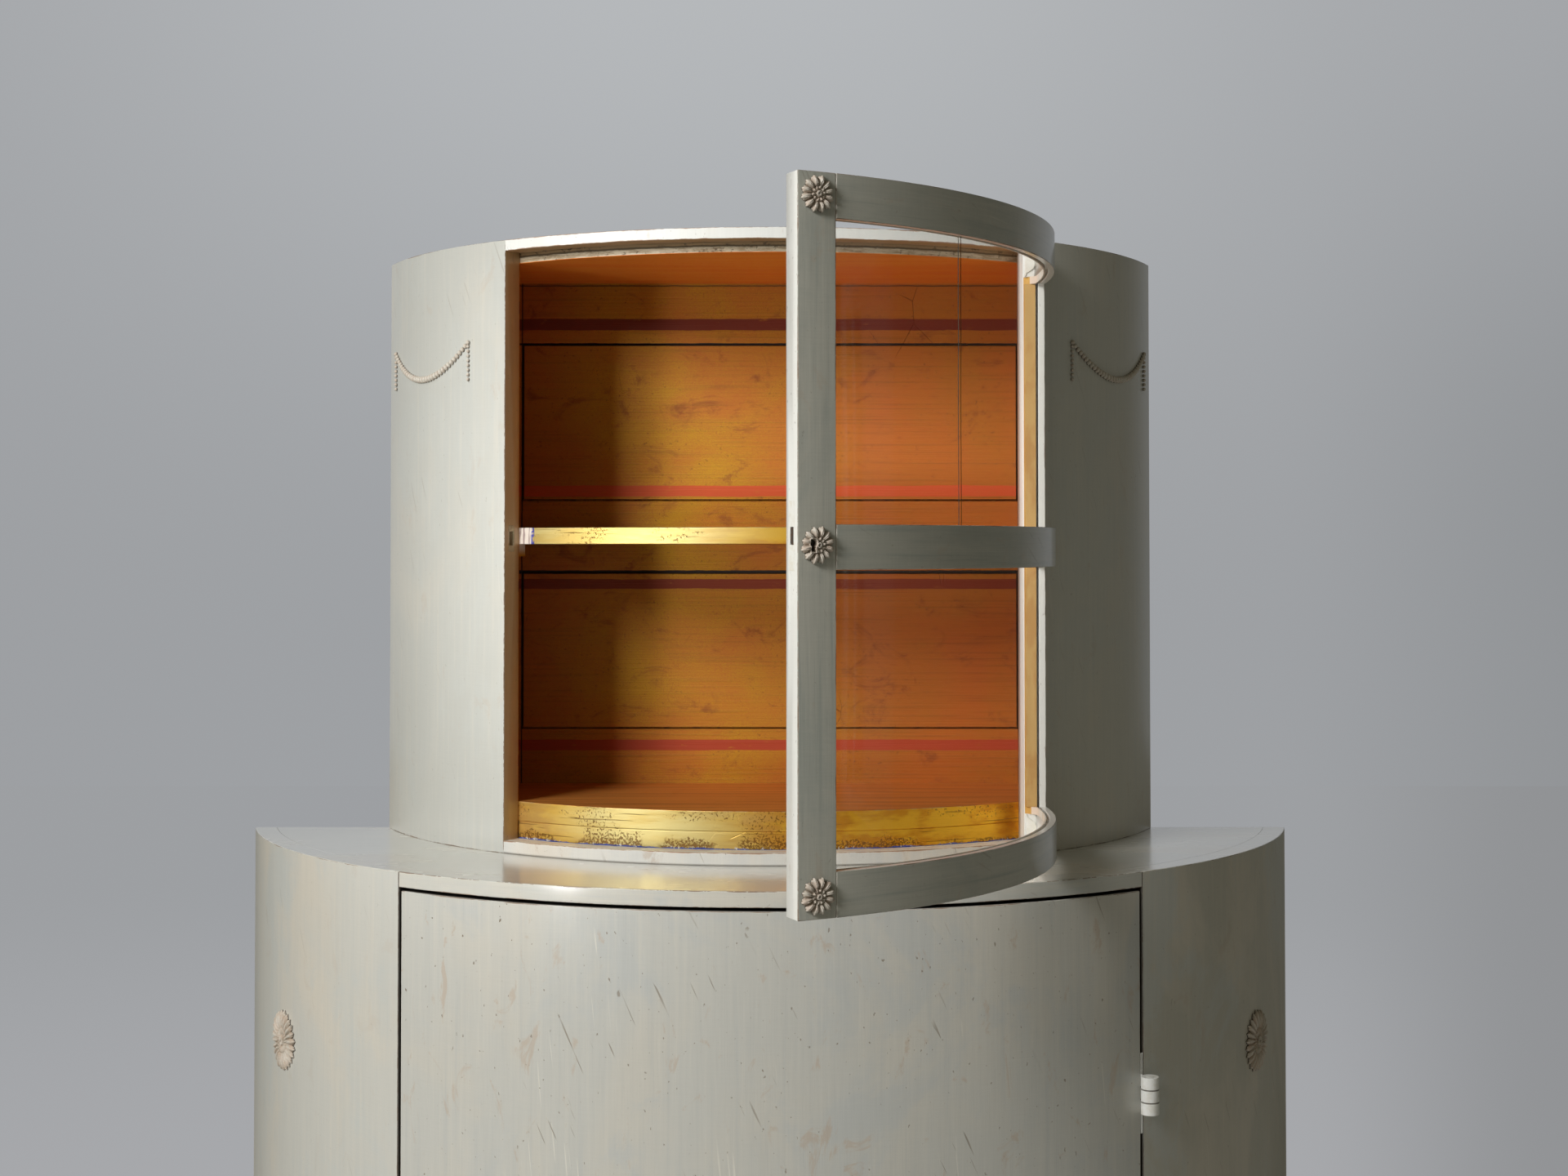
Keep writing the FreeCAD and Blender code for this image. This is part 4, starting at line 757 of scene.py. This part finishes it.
feet, t, shader, place = new_material("foot paint")
coat = t.use(paint_group, Unrolled=place, Paint=PAINT, Older_Coat=OLDER, Cool_Coat=COOL, Clouds=0.8, Streaks=0.4,
             Scuffs=1.0)
scuffed = t.fade(t.split(place)[2], 0.035, 0.0) * t.blots(place, (90.0, 90.0, 40.0), 0.4, 0.58, 4.0, 0.7)
surface(t, shader, t.mix(scuffed * 0.8, coat["Color"], (0.24, 0.16, 0.1)), coat["Roughness"], coat["Relief"],
        0.0003)
dress([n for n in nodes if n.startswith("foot")], feet)


def metal(name, tone, dull, rough, metallic):
    material, t, shader, place = new_material(name)
    patina = t.noise(place, 160.0, 4.0, 0.65)
    brushed = t.noise(place, (60.0, 60.0, 900.0), 2.0, 0.5)
    surface(t, shader, t.mix(t.fade(patina, 0.42, 0.66), tone, dull), rough + patina * 0.25,
            patina + brushed * 0.5, 0.00012, Metallic=metallic)
    return material


brass = metal("aged brass", (0.6, 0.46, 0.22), (0.26, 0.18, 0.085), 0.28, 0.9)
iron = metal("dark iron", (0.16, 0.15, 0.14), (0.2, 0.11, 0.06), 0.42, 0.75)
rimmed = metal("worn brass rim", (0.62, 0.55, 0.36), (0.4, 0.33, 0.2), 0.38, 0.5)
hinge_paint, t, shader, place = new_material("hinge paint")
_, out, up, _ = unroll(t, place, "low")
patina = t.noise(place, 160.0, 4.0, 0.65)
color = t.mix(t.fade(patina, 0.42, 0.66), (0.87, 0.87, 0.83), (0.8, 0.78, 0.71))
KNUCKLES, KNUCKLE_TALL = (LOW_TOP - 0.203, LOW_DOOR_FOOT + 0.16), 0.0347
# Painted shade: dark lines at the splits between the knuckles.
seam = edge_distance(t, *[(up, middle + side * KNUCKLE_TALL / 6) for middle in KNUCKLES for side in (-1, 1)])
color = t.mix(t.fade(seam, 0.0009, 0.0004) * 0.85, color, (0.16, 0.14, 0.11))
# Painted shade: where the leaves lie back in the gap, they are darkened near black.
color = t.mix(t.fade(out, -0.0003, -0.0012), color, SOIL_AND_SHADE)
surface(t, shader, color, 0.36 + patina * 0.25, patina, 0.00012)
dress(["upper_hinge_case_leaves", "upper_hinge_door_leaves", "upper_hinge_pins"], brass)
dress(["upper_lock_case", "lower_lock_case", "upper_lock_bolt", "lower_lock_bolt"], iron)
dress(["upper_strike_plate"], rimmed)
dress(["lower_hinge_case_leaves", "lower_hinge_door_leaves", "lower_hinge_pins"], hinge_paint)
dress(["upper_lock_plate"], metal("painted lock plate", (0.76, 0.75, 0.69), (0.7, 0.67, 0.58), 0.4, 0.0))
print("metal dressed")

# %% [markdown]
# The panes are old bent glass: clear, a little green where it is seen edge-on, never quite flat. The upper one
# has a crack from top to bottom, which reads as a dark thread. Yellowed strips of putty hold the panes.
# %% Materials: glass and putty
CRACK = -0.0998
GLASS_SOLID = 0.022


def pane_glass(name, cracked):
    material, t, shader, place = new_material(name)
    along, _, _, flat = unroll(t, place, "up", True)
    wave = t.noise(flat, (16.0, 16.0, 5.0), 2.0, 0.5)
    color, solid = (0.955, 0.97, 0.955), GLASS_SOLID
    if cracked:
        wander = (t.noise(flat, (0.0, 0.0, 9.0), 3.0, 0.6) - 0.5) * 0.004
        off = abs(along - (wander + CRACK))
        thread = t.math("LESS_THAN", off, 0.00055)
        color = t.mix(thread, color, (0.02, 0.025, 0.02))
        solid = t.most(thread, GLASS_SOLID)
    surface(t, shader, color, 0.0, wave, 0.0006, 0.25, Alpha=solid, Transmission_Weight=1.0, IOR=1.48,
            Specular_IOR_Level=0.3)
    return material


dress(["door_glass_upper"], pane_glass("cracked old glass", True))
dress(["door_glass_lower"], pane_glass("old glass", False))
putty, t, shader, place = new_material("yellowed putty")
along = unroll(t, place, "up", True)["Along"]
mottle = t.noise(place, (80.0, 80.0, 30.0), 4.0, 0.65)
aged = t.mix(t.fade(mottle, 0.4, 0.62), (0.64, 0.38, 0.105), (0.56, 0.28, 0.055))
painted = t.mix(t.fade(mottle, 0.36, 0.62), (0.8, 0.775, 0.7), (0.74, 0.655, 0.54))
painted = t.mix(t.fade(along, 0.215, 0.236), painted, (0.74, 0.6, 0.48))
on_rail = t.fade(abs(along), 0.244, 0.2432)
surface(t, shader, t.mix(on_rail, aged, painted), 0.45 + mottle * 0.3, mottle, 0.0008)
dress(["door_glazing_beads_upper", "door_glazing_beads_lower"], putty)
print("glass dressed")

# %% [markdown]
# CAD boards have edges like knives. Real arrises are eased with a plane, and that thin rounded line is what
# the eye reads as wood. Each board is copied, its loose triangles merged, and only the edges on the front face
# or at the board's ends are bevelled, so the pockets for locks and hinges stay as cut. The door's rails, and the
# glazing beads that lie on them, are thinned from the glass side.
# %% Softened boards
RAIL_BACK = -0.0104
TOUCHING, SAME_PLACE = 0.00002, 0.0002
FLAT_ANGLE, CORNER_ANGLE = math.radians(0.4), math.radians(40)
BEVEL = {"offset_type": "OFFSET", "segments": 2, "profile": 0.5, "affect": "EDGES"}


def fresh(name, mesh, material, body):
    made = bpy.data.objects.new(name, mesh)
    scene.collection.objects.link(made)
    if material:
        mesh.materials.clear()
        mesh.materials.append(material)
    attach(made, body)
    return made


def merged(node):
    """A node's mesh with the corners that lie on each other made one, to be worked on."""
    bm = bmesh.new()
    bm.from_mesh(nodes[node].data)
    bmesh.ops.remove_doubles(bm, verts=bm.verts, dist=TOUCHING)
    return bm


def to_mesh(bm, name, sharp=None):
    """The worked mesh. With an angle given, all but the edges sharper than that are smooth."""
    mesh = bpy.data.meshes.new(name)
    bm.to_mesh(mesh)
    bm.free()
    if sharp:
        mesh.polygons.foreach_set("use_smooth", [True] * len(mesh.polygons))
        mesh.set_sharp_from_angle(angle=math.radians(sharp))
    return mesh


def to_open_door(spot):
    return IN_DOOR.inverted() @ (spot - DOOR_SHIFT)


def on_bow(turn, proud, high, tier="up", swung=False):
    """A place by its angle round the bow, how far it stands off the face, and its height."""
    centre, radius = BOWS[tier]
    spot = Vector(((radius + proud) * math.sin(turn), centre - (radius + proud) * math.cos(turn), high))
    return to_open_door(spot) if swung else spot


def from_bow(vert, swung, centre=UP_CENTRE):
    """Where a corner lies with the door shut, as a place and as a ray from the bow's centre."""
    place = (IN_DOOR @ vert.co + DOOR_SHIFT) if swung else vert.co.copy()
    return place, place.xy - Vector((0.0, centre))


def thinned(bm, back, widest=1.0):
    """Brings the back of a door piece forward to a given depth, as far as the piece lies within the pane."""
    for vert in bm.verts:
        place, ray = from_bow(vert, True)
        along = math.atan2(ray.x, -ray.y) * UP_RADIUS
        if ray.length < UP_RADIUS + back and abs(along) < widest:
            ray *= (UP_RADIUS + back) / ray.length
            vert.co = to_open_door(Vector((ray.x, UP_CENTRE + ray.y, place.z)))


def softened(node, tier, width, swung=False, straight=False, ends=True):
    source, bm = nodes[node], merged(node)
    if swung and "rail" in node:
        thinned(bm, RAIL_BACK)
    bmesh.ops.dissolve_limit(bm, angle_limit=FLAT_ANGLE, verts=bm.verts, edges=bm.edges)
    reach = {v: from_bow(v, swung, BOWS[tier][0])[1].length for v in bm.verts}
    heights = [v.co.z for v in bm.verts]
    widest, low, high = max(reach.values()), min(heights), max(heights)
    chosen = []
    for edge in bm.edges:
        if len(edge.link_faces) != 2 or edge.calc_face_angle(0.0) < CORNER_ANGLE:
            continue
        a, b = edge.verts
        on_face = all(abs(reach[v] - widest) < SAME_PLACE for v in (a, b))
        on_end = any(all(abs(v.co.z - level) < SAME_PLACE for v in (a, b)) for level in (low, high))
        if on_face or (on_end and ends) or straight:
            chosen.append(edge)
    bmesh.ops.bevel(bm, geom=chosen, offset=width, clamp_overlap=False, **BEVEL)
    made = fresh(node + "_soft", to_mesh(bm, node + "_soft", 50), source.data.materials[0], source["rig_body"])
    made.modifiers.new("even", "WEIGHTED_NORMAL").keep_sharp = True
    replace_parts(made, node)
    return len(chosen)


softened_sets = (
    ("upper", ("upper_side_left", "upper_side_right", "upper_top_board", "upper_base_board"), "up", 0.0005, {}),
    ("base sides", ("lower_side_left", "lower_side_right", "lower_top_board"), "low", 0.0009, {"ends": False}),
    ("base front", ("lower_door_panel", "lower_front_rail"), "low", 0.0009, {}),
    ("door", door_limits, "up", 0.0006, {"swung": True}),
    ("gilded", ("upper_floor_board", "upper_floor_riser", "upper_shelf"), "up", 0.0008, {}),
    ("hinges", ("lower_hinge_case_leaves", "lower_hinge_door_leaves"), "low", 0.0006, {"straight": True}),
)
for label, names, tier, width, choice in softened_sets:
    print(label, [softened(name, tier, width, **choice) for name in names])
for name in ("door_glazing_beads_upper", "door_glazing_beads_lower"):
    bm = merged(name)
    thinned(bm, RAIL_BACK, 0.243)
    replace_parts(fresh(name + "_thin", to_mesh(bm, name + "_thin"), putty, nodes[name]["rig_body"]), name)

# %% [markdown]
# The rosettes are carved daisies. Their shape follows a rule in polar coordinates, so each is a height map
# over a round grid: two rings of petals are bumps around the circle with a groove between, and a button sits in
# the middle. At the rim each petal is pointed, with a small lobe on either side. The grid is then bent onto the
# bowed wood and closed behind.
# %% Rosettes
BUTTON, GROOVE, INNER_RING = 0.17, 0.24, 0.46
SEAT, HOLE_SEAT = 0.00005, 0.00025
HOLE_RADIUS, SLOT_HALF, SLOT_LONG, RIM_AT, RIM_WIDE = 0.0026, 0.0014, 0.0066, 0.001, 0.0007


def petal_height(share, turn, petals):
    """Height from 0 to 1 over a flower: share is the way from the middle to the rim."""
    phase = (turn * petals / (2 * math.pi)) % 1.0 - 0.5
    swell = math.cos(math.pi * phase) ** 2
    groove = 0.18 * math.exp(-((phase / 0.07) ** 2)) * (1.0 if share > 0.45 else 0.3)
    if share < BUTTON:
        return 0.8 + 0.1 * math.sin(share / BUTTON * math.pi) - 0.22 * math.exp(-((share / 0.06) ** 2))
    if share < GROOVE:
        return 0.5
    if share < INNER_RING:
        inner_phase = (turn * (petals - 2) / (2 * math.pi) + 0.3) % 1.0 - 0.5
        lift = math.sin((share - GROOVE) / 0.22 * math.pi) ** 0.7
        return 0.44 + 0.34 * lift * (0.3 + 0.7 * math.cos(math.pi * inner_phase) ** 2)
    lift = math.sin(min(1.0, (share - 0.4) / 0.6) * math.pi * 0.92 + 0.12) ** 0.6
    return 0.22 + lift * (0.12 + 0.66 * swell ** 0.8 - groove)


def petal_rim(phase, rim):
    """Way to the rim across one petal: pointed in the middle, with a small lobe on either side."""
    return 1.0 - 1.35 * rim * abs(2 * phase) ** 1.5 + 0.022 * math.cos(6 * math.pi * phase)


def flower_mesh(name, petals, radius, height, seed, tier, angle, z_mid, swung, rim=0.13, hole=None):
    rng = random.Random(seed)
    rings, spokes = 40, petals * (14 if petals < 16 else 10)
    swings = [rng.uniform(-0.1, 0.1) for _ in range(petals)]
    lengths = [rng.uniform(0.93, 1.0) for _ in range(petals)]
    bm = bmesh.new()

    def put(across, high, proud):
        turn = math.radians(angle) + across / BOWS[tier][1]
        return bm.verts.new(on_bow(turn, proud, z_mid + high, tier, swung))

    def on_spoke(spoke):
        """The angle of a spoke, the swing of its petal there, and how far its rim reaches."""
        turn = 2 * math.pi * spoke / spokes
        which = int(turn * petals / (2 * math.pi)) % petals
        phase = (turn * petals / (2 * math.pi)) % 1.0 - 0.5
        return turn, swings[which] * 0.15 * math.cos(math.pi * phase), lengths[which] * petal_rim(phase, rim)

    rows = []
    for ring in range(1, rings + 1):
        row = []
        for spoke in range(spokes):
            turn, swing, edge = on_spoke(spoke)
            share = ring / rings
            level = petal_height(share, turn + swing, petals)
            level += rng.uniform(-0.03, 0.03)
            far = share * radius * edge
            across, high = far * math.cos(turn), far * math.sin(turn)
            proud = height * level * (1.0 if ring < rings else 0.45)
            if hole:
                near = math.hypot(across - hole[0], high - hole[1])
                slot = max(abs(across - hole[0]) - SLOT_HALF, high - hole[1], hole[1] - SLOT_LONG - high)
                near = min(near - HOLE_RADIUS, slot)
                rim_lift = height * 0.85 * math.exp(-(((near - RIM_AT) / RIM_WIDE) ** 2))
                proud = max(proud, rim_lift) if near > 0.0 else HOLE_SEAT
            row.append(put(across, high, proud))
        rows.append(row)
    middle = put(0.0, 0.0, height * 0.6)
    skirt = []
    for spoke in range(spokes):
        turn, _, edge = on_spoke(spoke)
        skirt.append(put(radius * edge * math.cos(turn), radius * edge * math.sin(turn), SEAT))
    rows.append(skirt)
    base = put(0.0, 0.0, SEAT)
    for spoke in range(spokes):
        after = (spoke + 1) % spokes
        bm.faces.new((middle, rows[0][spoke], rows[0][after]))
        bm.faces.new((base, skirt[after], skirt[spoke]))
        for inner_row, outer_row in zip(rows, rows[1:]):
            bm.faces.new((inner_row[spoke], outer_row[spoke], outer_row[after], inner_row[after]))
    bmesh.ops.recalc_face_normals(bm, faces=bm.faces)
    return to_mesh(bm, name, 70)


def ornament(name, tier="up", swung=False, proud=0.004, tone=(0.5, 0.45, 0.375), pink=(0.52, 0.42, 0.335)):
    """Carved and painted: dirt and painted shade lie in the hollows and close to the wood, the tips are rubbed pale
    and carry a painted highlight.
    """
    material, t, shader, place = new_material(name)
    out = unroll(t, place, tier, swung)["Out"]
    hollow = t.add("ShaderNodeNewGeometry")["Pointiness"]
    fine = t.noise(place, 420.0, 3.0, 0.6)
    level = out + (fine - 0.5) * (proud * 0.5)
    # deep is dirt and painted shade in the hollows; high is pale rubbed paint and a painted highlight on the tips.
    deep = t.most(t.fade(level, proud * 0.55, proud * 0.12), t.fade(hollow, 0.49, 0.44))
    high = t.most(t.fade(level, proud * 0.7, proud), t.fade(hollow, 0.52, 0.58))
    blotch = t.noise(place, 110.0, 4.0, 0.65)
    color = t.mix(t.fade(blotch, 0.38, 0.62), tone, pink)
    color = t.mix(deep * 0.8, color, (0.22, 0.155, 0.1))
    color = t.mix(high * 0.45, color, (0.7, 0.665, 0.59))
    # Painted shade: the keyhole and the foot of the carving, where it meets the wood, are painted near black.
    color = t.mix(t.fade(out, 0.0007, 0.0004), color, (0.02, 0.015, 0.01))
    surface(t, shader, color, 0.46 + blotch * 0.2, fine, 0.0003)
    return material


bead_finish = ornament("painted beads", proud=0.0042, tone=(0.56, 0.515, 0.435), pink=(0.52, 0.43, 0.345))
rose_finish = {True: ornament("painted door rosettes", swung=True, proud=0.005),
               False: ornament("painted side rosettes", "low", proud=0.0044, tone=(0.5, 0.44, 0.36),
                               pink=(0.52, 0.41, 0.315))}
rose_angle = deg(0.017 / UP_RADIUS) - DOOR_ENDS
flowers = (
    ("rosette_top", "up", rose_angle, DOOR_HEAD - RAIL_TALL / 2, 12, 0.015, 0.0052, True, None),
    ("rosette_keyhole", "up", rose_angle, LOW_TOP + 0.3006, 12, 0.015, 0.0052, True, (-0.005, 0.0018)),
    ("rosette_bottom", "up", rose_angle, DOOR_FOOT + RAIL_TALL / 2, 12, 0.015, 0.0052, True, None),
    ("side_rosette_left", "low", -58.2, 0.66, 24, 0.0305, 0.005, False, None),
    ("side_rosette_right", "low", 58.2, 0.66, 24, 0.0305, 0.005, False, None),
    ("lower_keyhole_rosette", "low", deg(0.017 / LOW_RADIUS) - LOW_DOOR_ENDS, 0.485, 12, 0.0142, 0.0052, False,
     (0.0, 0.0008)),
)


def carved(name, mesh, finish):
    """Puts a carved mesh in the place of the plain piece of that name."""
    made = fresh(mesh.name, mesh, finish, nodes[name]["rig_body"])
    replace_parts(made, name)
    dress([name], finish)


for seed, (name, tier, angle, z_mid, petals, radius, height, swung, hole) in enumerate(flowers):
    mesh = flower_mesh(name + "_carved", petals, radius, height, 20 + seed, tier, angle, z_mid, swung, hole=hole)
    carved(name, mesh, rose_finish[swung])
    print(name, len(mesh.polygons), "faces")

# %% [markdown]
# The garlands are strings of small beads, swelling towards the middle, with a short plain string at each end.
# That is a job for Geometry Nodes: a path drawn on the bowed wood is divided evenly, a bead is put on each
# point, turned to stand off the wood and scaled by how far along the string it is.
# %% Garland node tree
def garland_tree():
    tree = bpy.data.node_groups.new("bead string", "GeometryNodeTree")
    face = tree.interface
    face.new_socket("Geometry", in_out="INPUT", socket_type="NodeSocketGeometry")
    for label, value in (("Spacing", 0.0026), ("Thin", 0.0019), ("Thick", 0.0034), ("Flatness", 0.75)):
        face.new_socket(label, in_out="INPUT", socket_type="NodeSocketFloat").default_value = value
    face.new_socket("Centre", in_out="INPUT", socket_type="NodeSocketVector")
    face.new_socket("Finish", in_out="INPUT", socket_type="NodeSocketMaterial")
    face.new_socket("Geometry", in_out="OUTPUT", socket_type="NodeSocketGeometry")
    g = Tree(tree)
    given = g.add("NodeGroupInput")
    path = g.add("GeometryNodeMeshToCurve", {0: given["Geometry"]})[0]
    even = g.add("GeometryNodeResampleCurve", {"Curve": path, "Length": given["Spacing"]}, mode="LENGTH")[0]
    ball = g.add("GeometryNodeMeshIcoSphere", {"Radius": 1.0, "Subdivisions": 3})[0]
    smooth = g.add("GeometryNodeSetShadeSmooth", {0: ball})[0]
    spot = g.add("GeometryNodeInputPosition")[0]
    away = g.add("ShaderNodeVectorMath", {0: spot, 1: given["Centre"]}, operation="SUBTRACT")[0]
    level = g.add("ShaderNodeVectorMath", {0: away, 1: (1.0, 1.0, 0.0)}, operation="MULTIPLY")[0]
    tangent = g.add("GeometryNodeInputTangent")[0]
    turn = g.add("FunctionNodeAxesToRotation", {0: level, 1: tangent}, primary_axis="Z", secondary_axis="X")[0]
    swell = g.math("SINE", g.add("GeometryNodeSplineParameter")["Factor"] * math.pi)
    wide = given["Thin"] + (given["Thick"] - given["Thin"]) * swell
    size = g.vector(given["Spacing"] * 0.41, wide, wide * given["Flatness"])
    feeds = {"Points": even, "Instance": smooth, "Rotation": turn, "Scale": size}
    beads = g.add("GeometryNodeInstanceOnPoints", feeds)[0]
    real = g.add("GeometryNodeRealizeInstances", {0: beads})[0]
    coat = g.add("GeometryNodeSetMaterial", {0: real, "Material": given["Finish"]})[0]
    g.feed(tree.nodes.new("NodeGroupOutput").inputs[0], coat)
    return tree


bead_string = garland_tree()


def strung(paths, spacing, thin, thick, flatness, finish):
    """Beads along paths of points, as a plain mesh."""
    mesh = bpy.data.meshes.new("path")
    verts, edges = [], []
    for path in paths:
        edges += [(len(verts) + i, len(verts) + i + 1) for i in range(len(path) - 1)]
        verts += path
    mesh.from_pydata(verts, edges, [])
    holder = bpy.data.objects.new("path", mesh)
    scene.collection.objects.link(holder)
    modifier = holder.modifiers.new("beads", "NODES")
    modifier.node_group = bead_string
    values = {"Spacing": spacing, "Thin": thin, "Thick": thick, "Flatness": flatness,
              "Centre": (0.0, UP_CENTRE, 0.0), "Finish": finish}
    for item in bead_string.interface.items_tree:
        if item.in_out == "INPUT" and item.name in values:
            modifier[item.identifier] = values[item.name]
    scene.view_layers[0].update()
    made = bpy.data.meshes.new_from_object(holder.evaluated_get(bpy.context.evaluated_depsgraph_get()))
    bpy.data.objects.remove(holder)
    return made


print(bead_string.name, len(bead_string.nodes), "nodes")

# %% [markdown]
# Each garland hangs between two short drops. The paths are drawn on the wood by angle and height.
# %% Garlands
SWAG = (math.radians(64.9), math.radians(43.6))
SWAG_TOP, SWAG_DEEP, DROP_LONG = LOW_TOP + 0.5035, 0.0325, 0.033
for label, side in (("garland_left", -1), ("garland_right", 1)):
    swag = []
    for step in range(81):
        share = step / 80
        angle = SWAG[0] + (SWAG[1] - SWAG[0]) * share
        swag.append(on_bow(side * angle, 0.0012, SWAG_TOP - SWAG_DEEP * (1 - (2 * share - 1) ** 2)))
    drops = [[on_bow(side * angle, 0.001, SWAG_TOP - 0.004 - DROP_LONG * step / 16) for step in range(17)]
             for angle in SWAG]
    bm = bmesh.new()
    bm.from_mesh(strung([swag], 0.0054, 0.0024, 0.0036, 0.95, bead_finish))
    bm.from_mesh(strung(drops, 0.0043, 0.0018, 0.0018, 1.1, bead_finish))
    mesh = to_mesh(bm, label + "_beads")
    mesh.polygons.foreach_set("use_smooth", [True] * len(mesh.polygons))
    carved(label, mesh, bead_finish)
    print(label, len(mesh.polygons), "faces")

# %% [markdown]
# Where the hinge stile meets the top and bottom rails, a thin white plate shaped like an ear covers the joint.
# Its outline is drawn in the stile's own directions, out and up, and pushed a millimetre towards the glass.
# %% Ear plates
EAR = ((-0.0197, 0.0006), (-0.016, 0.0024), (-0.0125, 0.0058), (-0.0102, 0.0098), (-0.0098, 0.0165),
       (-0.0112, 0.0206), (-0.0145, 0.0232), (-0.0178, 0.025), (-0.0197, 0.029))
EAR_AT, EAR_FACES, EAR_ROUND = 0.2438, (0.0004, -0.0011), 0.00035


def ear(name, base, sign):
    bm = bmesh.new()
    front, back = [[bm.verts.new(on_bow((EAR_AT + depth) / UP_RADIUS, out, base + sign * rise, "up", True))
                    for out, rise in EAR] for depth in EAR_FACES]
    bm.faces.new(front)
    bm.faces.new(reversed(back))
    for index in range(len(EAR)):
        after = (index + 1) % len(EAR)
        bm.faces.new((front[index], back[index], back[after], front[after]))
    bmesh.ops.recalc_face_normals(bm, faces=bm.faces)
    bmesh.ops.bevel(bm, geom=bm.edges, offset=EAR_ROUND, clamp_overlap=True, **BEVEL)
    return fresh(name, to_mesh(bm, name), ear_paint, nodes["door_hinge_stile"]["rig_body"])


ear_paint, t, shader, place = new_material("ear paint")
tone = t.noise(place, (60.0, 60.0, 90.0), 4.0, 0.65)
surface(t, shader, t.mix(t.fade(tone, 0.35, 0.65), (0.9, 0.885, 0.82), (0.82, 0.785, 0.69)), 0.34 + tone * 0.2,
        tone, 0.0002)
print(ear("ear_bottom", DOOR_FOOT, 1.0).name, ear("ear_top", DOOR_HEAD, -1.0).name)

# %% [markdown]
# Light: a large soft lamp high on the left, a low spot that shines into the open cupboard, and a weak warm light
# from all round. The backdrop is only a colour that the camera, gloss and glass see, so it adds no light to the
# object. It darkens a little behind the object's right side, as on the photo.
# %% Light and backdrop
def lamp(name, kind, watts, place, aim, **settings):
    """A lamp at a place, pointing at its aim."""
    data = bpy.data.lights.new(name, kind)
    data.energy = watts
    for label, value in settings.items():
        setattr(data, label, value)
    made = bpy.data.objects.new(name, data)
    made.location = place
    made.rotation_euler = (Vector(aim) - made.location).to_track_quat("-Z", "Y").to_euler()
    scene.collection.objects.link(made)
    return made


key = lamp("key", "AREA", 98.0, (-1.97, -2.47, 2.5), (-0.05, -0.25, 1.0), shape="RECTANGLE", size=1.08, size_y=0.95)
low = lamp("low", "SPOT", 175.0, (-1.72, -2.05, 0.8), (0.02, -0.1, 1.2), shadow_soft_size=0.22,
           spot_size=math.radians(15), spot_blend=1.0)


def seen_directly(t):
    """1 for what the camera sees itself or through glass, and the outputs of the Light Path node."""
    path = t.add("ShaderNodeLightPath")
    return t.most(path["Is Camera Ray"], path["Is Transmission Ray"]), path


world = bpy.data.worlds.new("studio")
scene.world = world
world.use_nodes = True
w = Tree(world.node_tree)
background = world.node_tree.nodes["Background"]
x, y, z = w.split(w.add("ShaderNodeTexCoord")["Generated"])
rise = w.mix(w.fade(z, -0.05, 0.3), (0.345, 0.356, 0.371), (0.472, 0.488, 0.504))
side = w.fade(abs(x + 0.03), 0.02, 0.42)
backdrop = w.mix(side * 0.75, rise, (0.335, 0.345, 0.362))
dim = w.fade(x, 0.22, 0.37) * w.fade(z, 0.24, 0.0)
backdrop = w.mix(dim * 0.85, backdrop, (0.278, 0.288, 0.3))
seen, path = seen_directly(w)
mirrored = w.mix(w.fade(y, 0.52, 0.86), (0.06, 0.056, 0.046), backdrop)
fill = w.mix(w.fade(x, -0.5, -0.95), (0.094, 0.088, 0.062), (0.25, 0.238, 0.2))
fill = w.mix(w.fade(x, 0.6, 0.98), fill, (0.14, 0.133, 0.105))
far_right = x * 0.75 + y * 0.66
fill = w.mix(w.fade(far_right, 0.6, 0.95), fill, (0.26, 0.26, 0.245))
light = w.mix(path["Is Glossy Ray"], fill, mirrored)
w.feed(background.inputs["Color"], w.mix(seen, light, backdrop))

bpy.ops.mesh.primitive_plane_add(size=16.0)
floor = bpy.context.object
floor.name = "floor"
floor_material, t, shader, place = new_material("studio floor")
x, y, _ = t.split(place)
far = t.math("SQRT", x * x + y * y)
seen, _ = seen_directly(t)
shader.inputs["Base Color"].default_value = (0.52, 0.52, 0.5, 1.0)
shader.inputs["Roughness"].default_value = 0.8
tone = t.mix(t.fade(far, 1.2, 5.5), (0.39, 0.396, 0.413), (0.338, 0.348, 0.363))
dim = x / t.most(y + 2.29, 1.0)
dim = t.fade(dim, 0.24, 0.37) * t.fade(y, -0.5, 1.5)
glow = t.add("ShaderNodeEmission", {"Color": t.mix(dim * 0.9, tone, (0.278, 0.284, 0.294))})[0]
far_off = seen * t.fade(far, 0.95, 1.55)
blend = t.add("ShaderNodeMixShader", {0: far_off, 1: shader.outputs[0], 2: glow})[0]
t.feed(floor_material.node_tree.nodes["Material Output"].inputs["Surface"], blend)
floor.data.materials.append(floor_material)
scene.view_settings.view_transform = "Standard"
print("lamps", key.data.energy, "and", low.data.energy, "W")
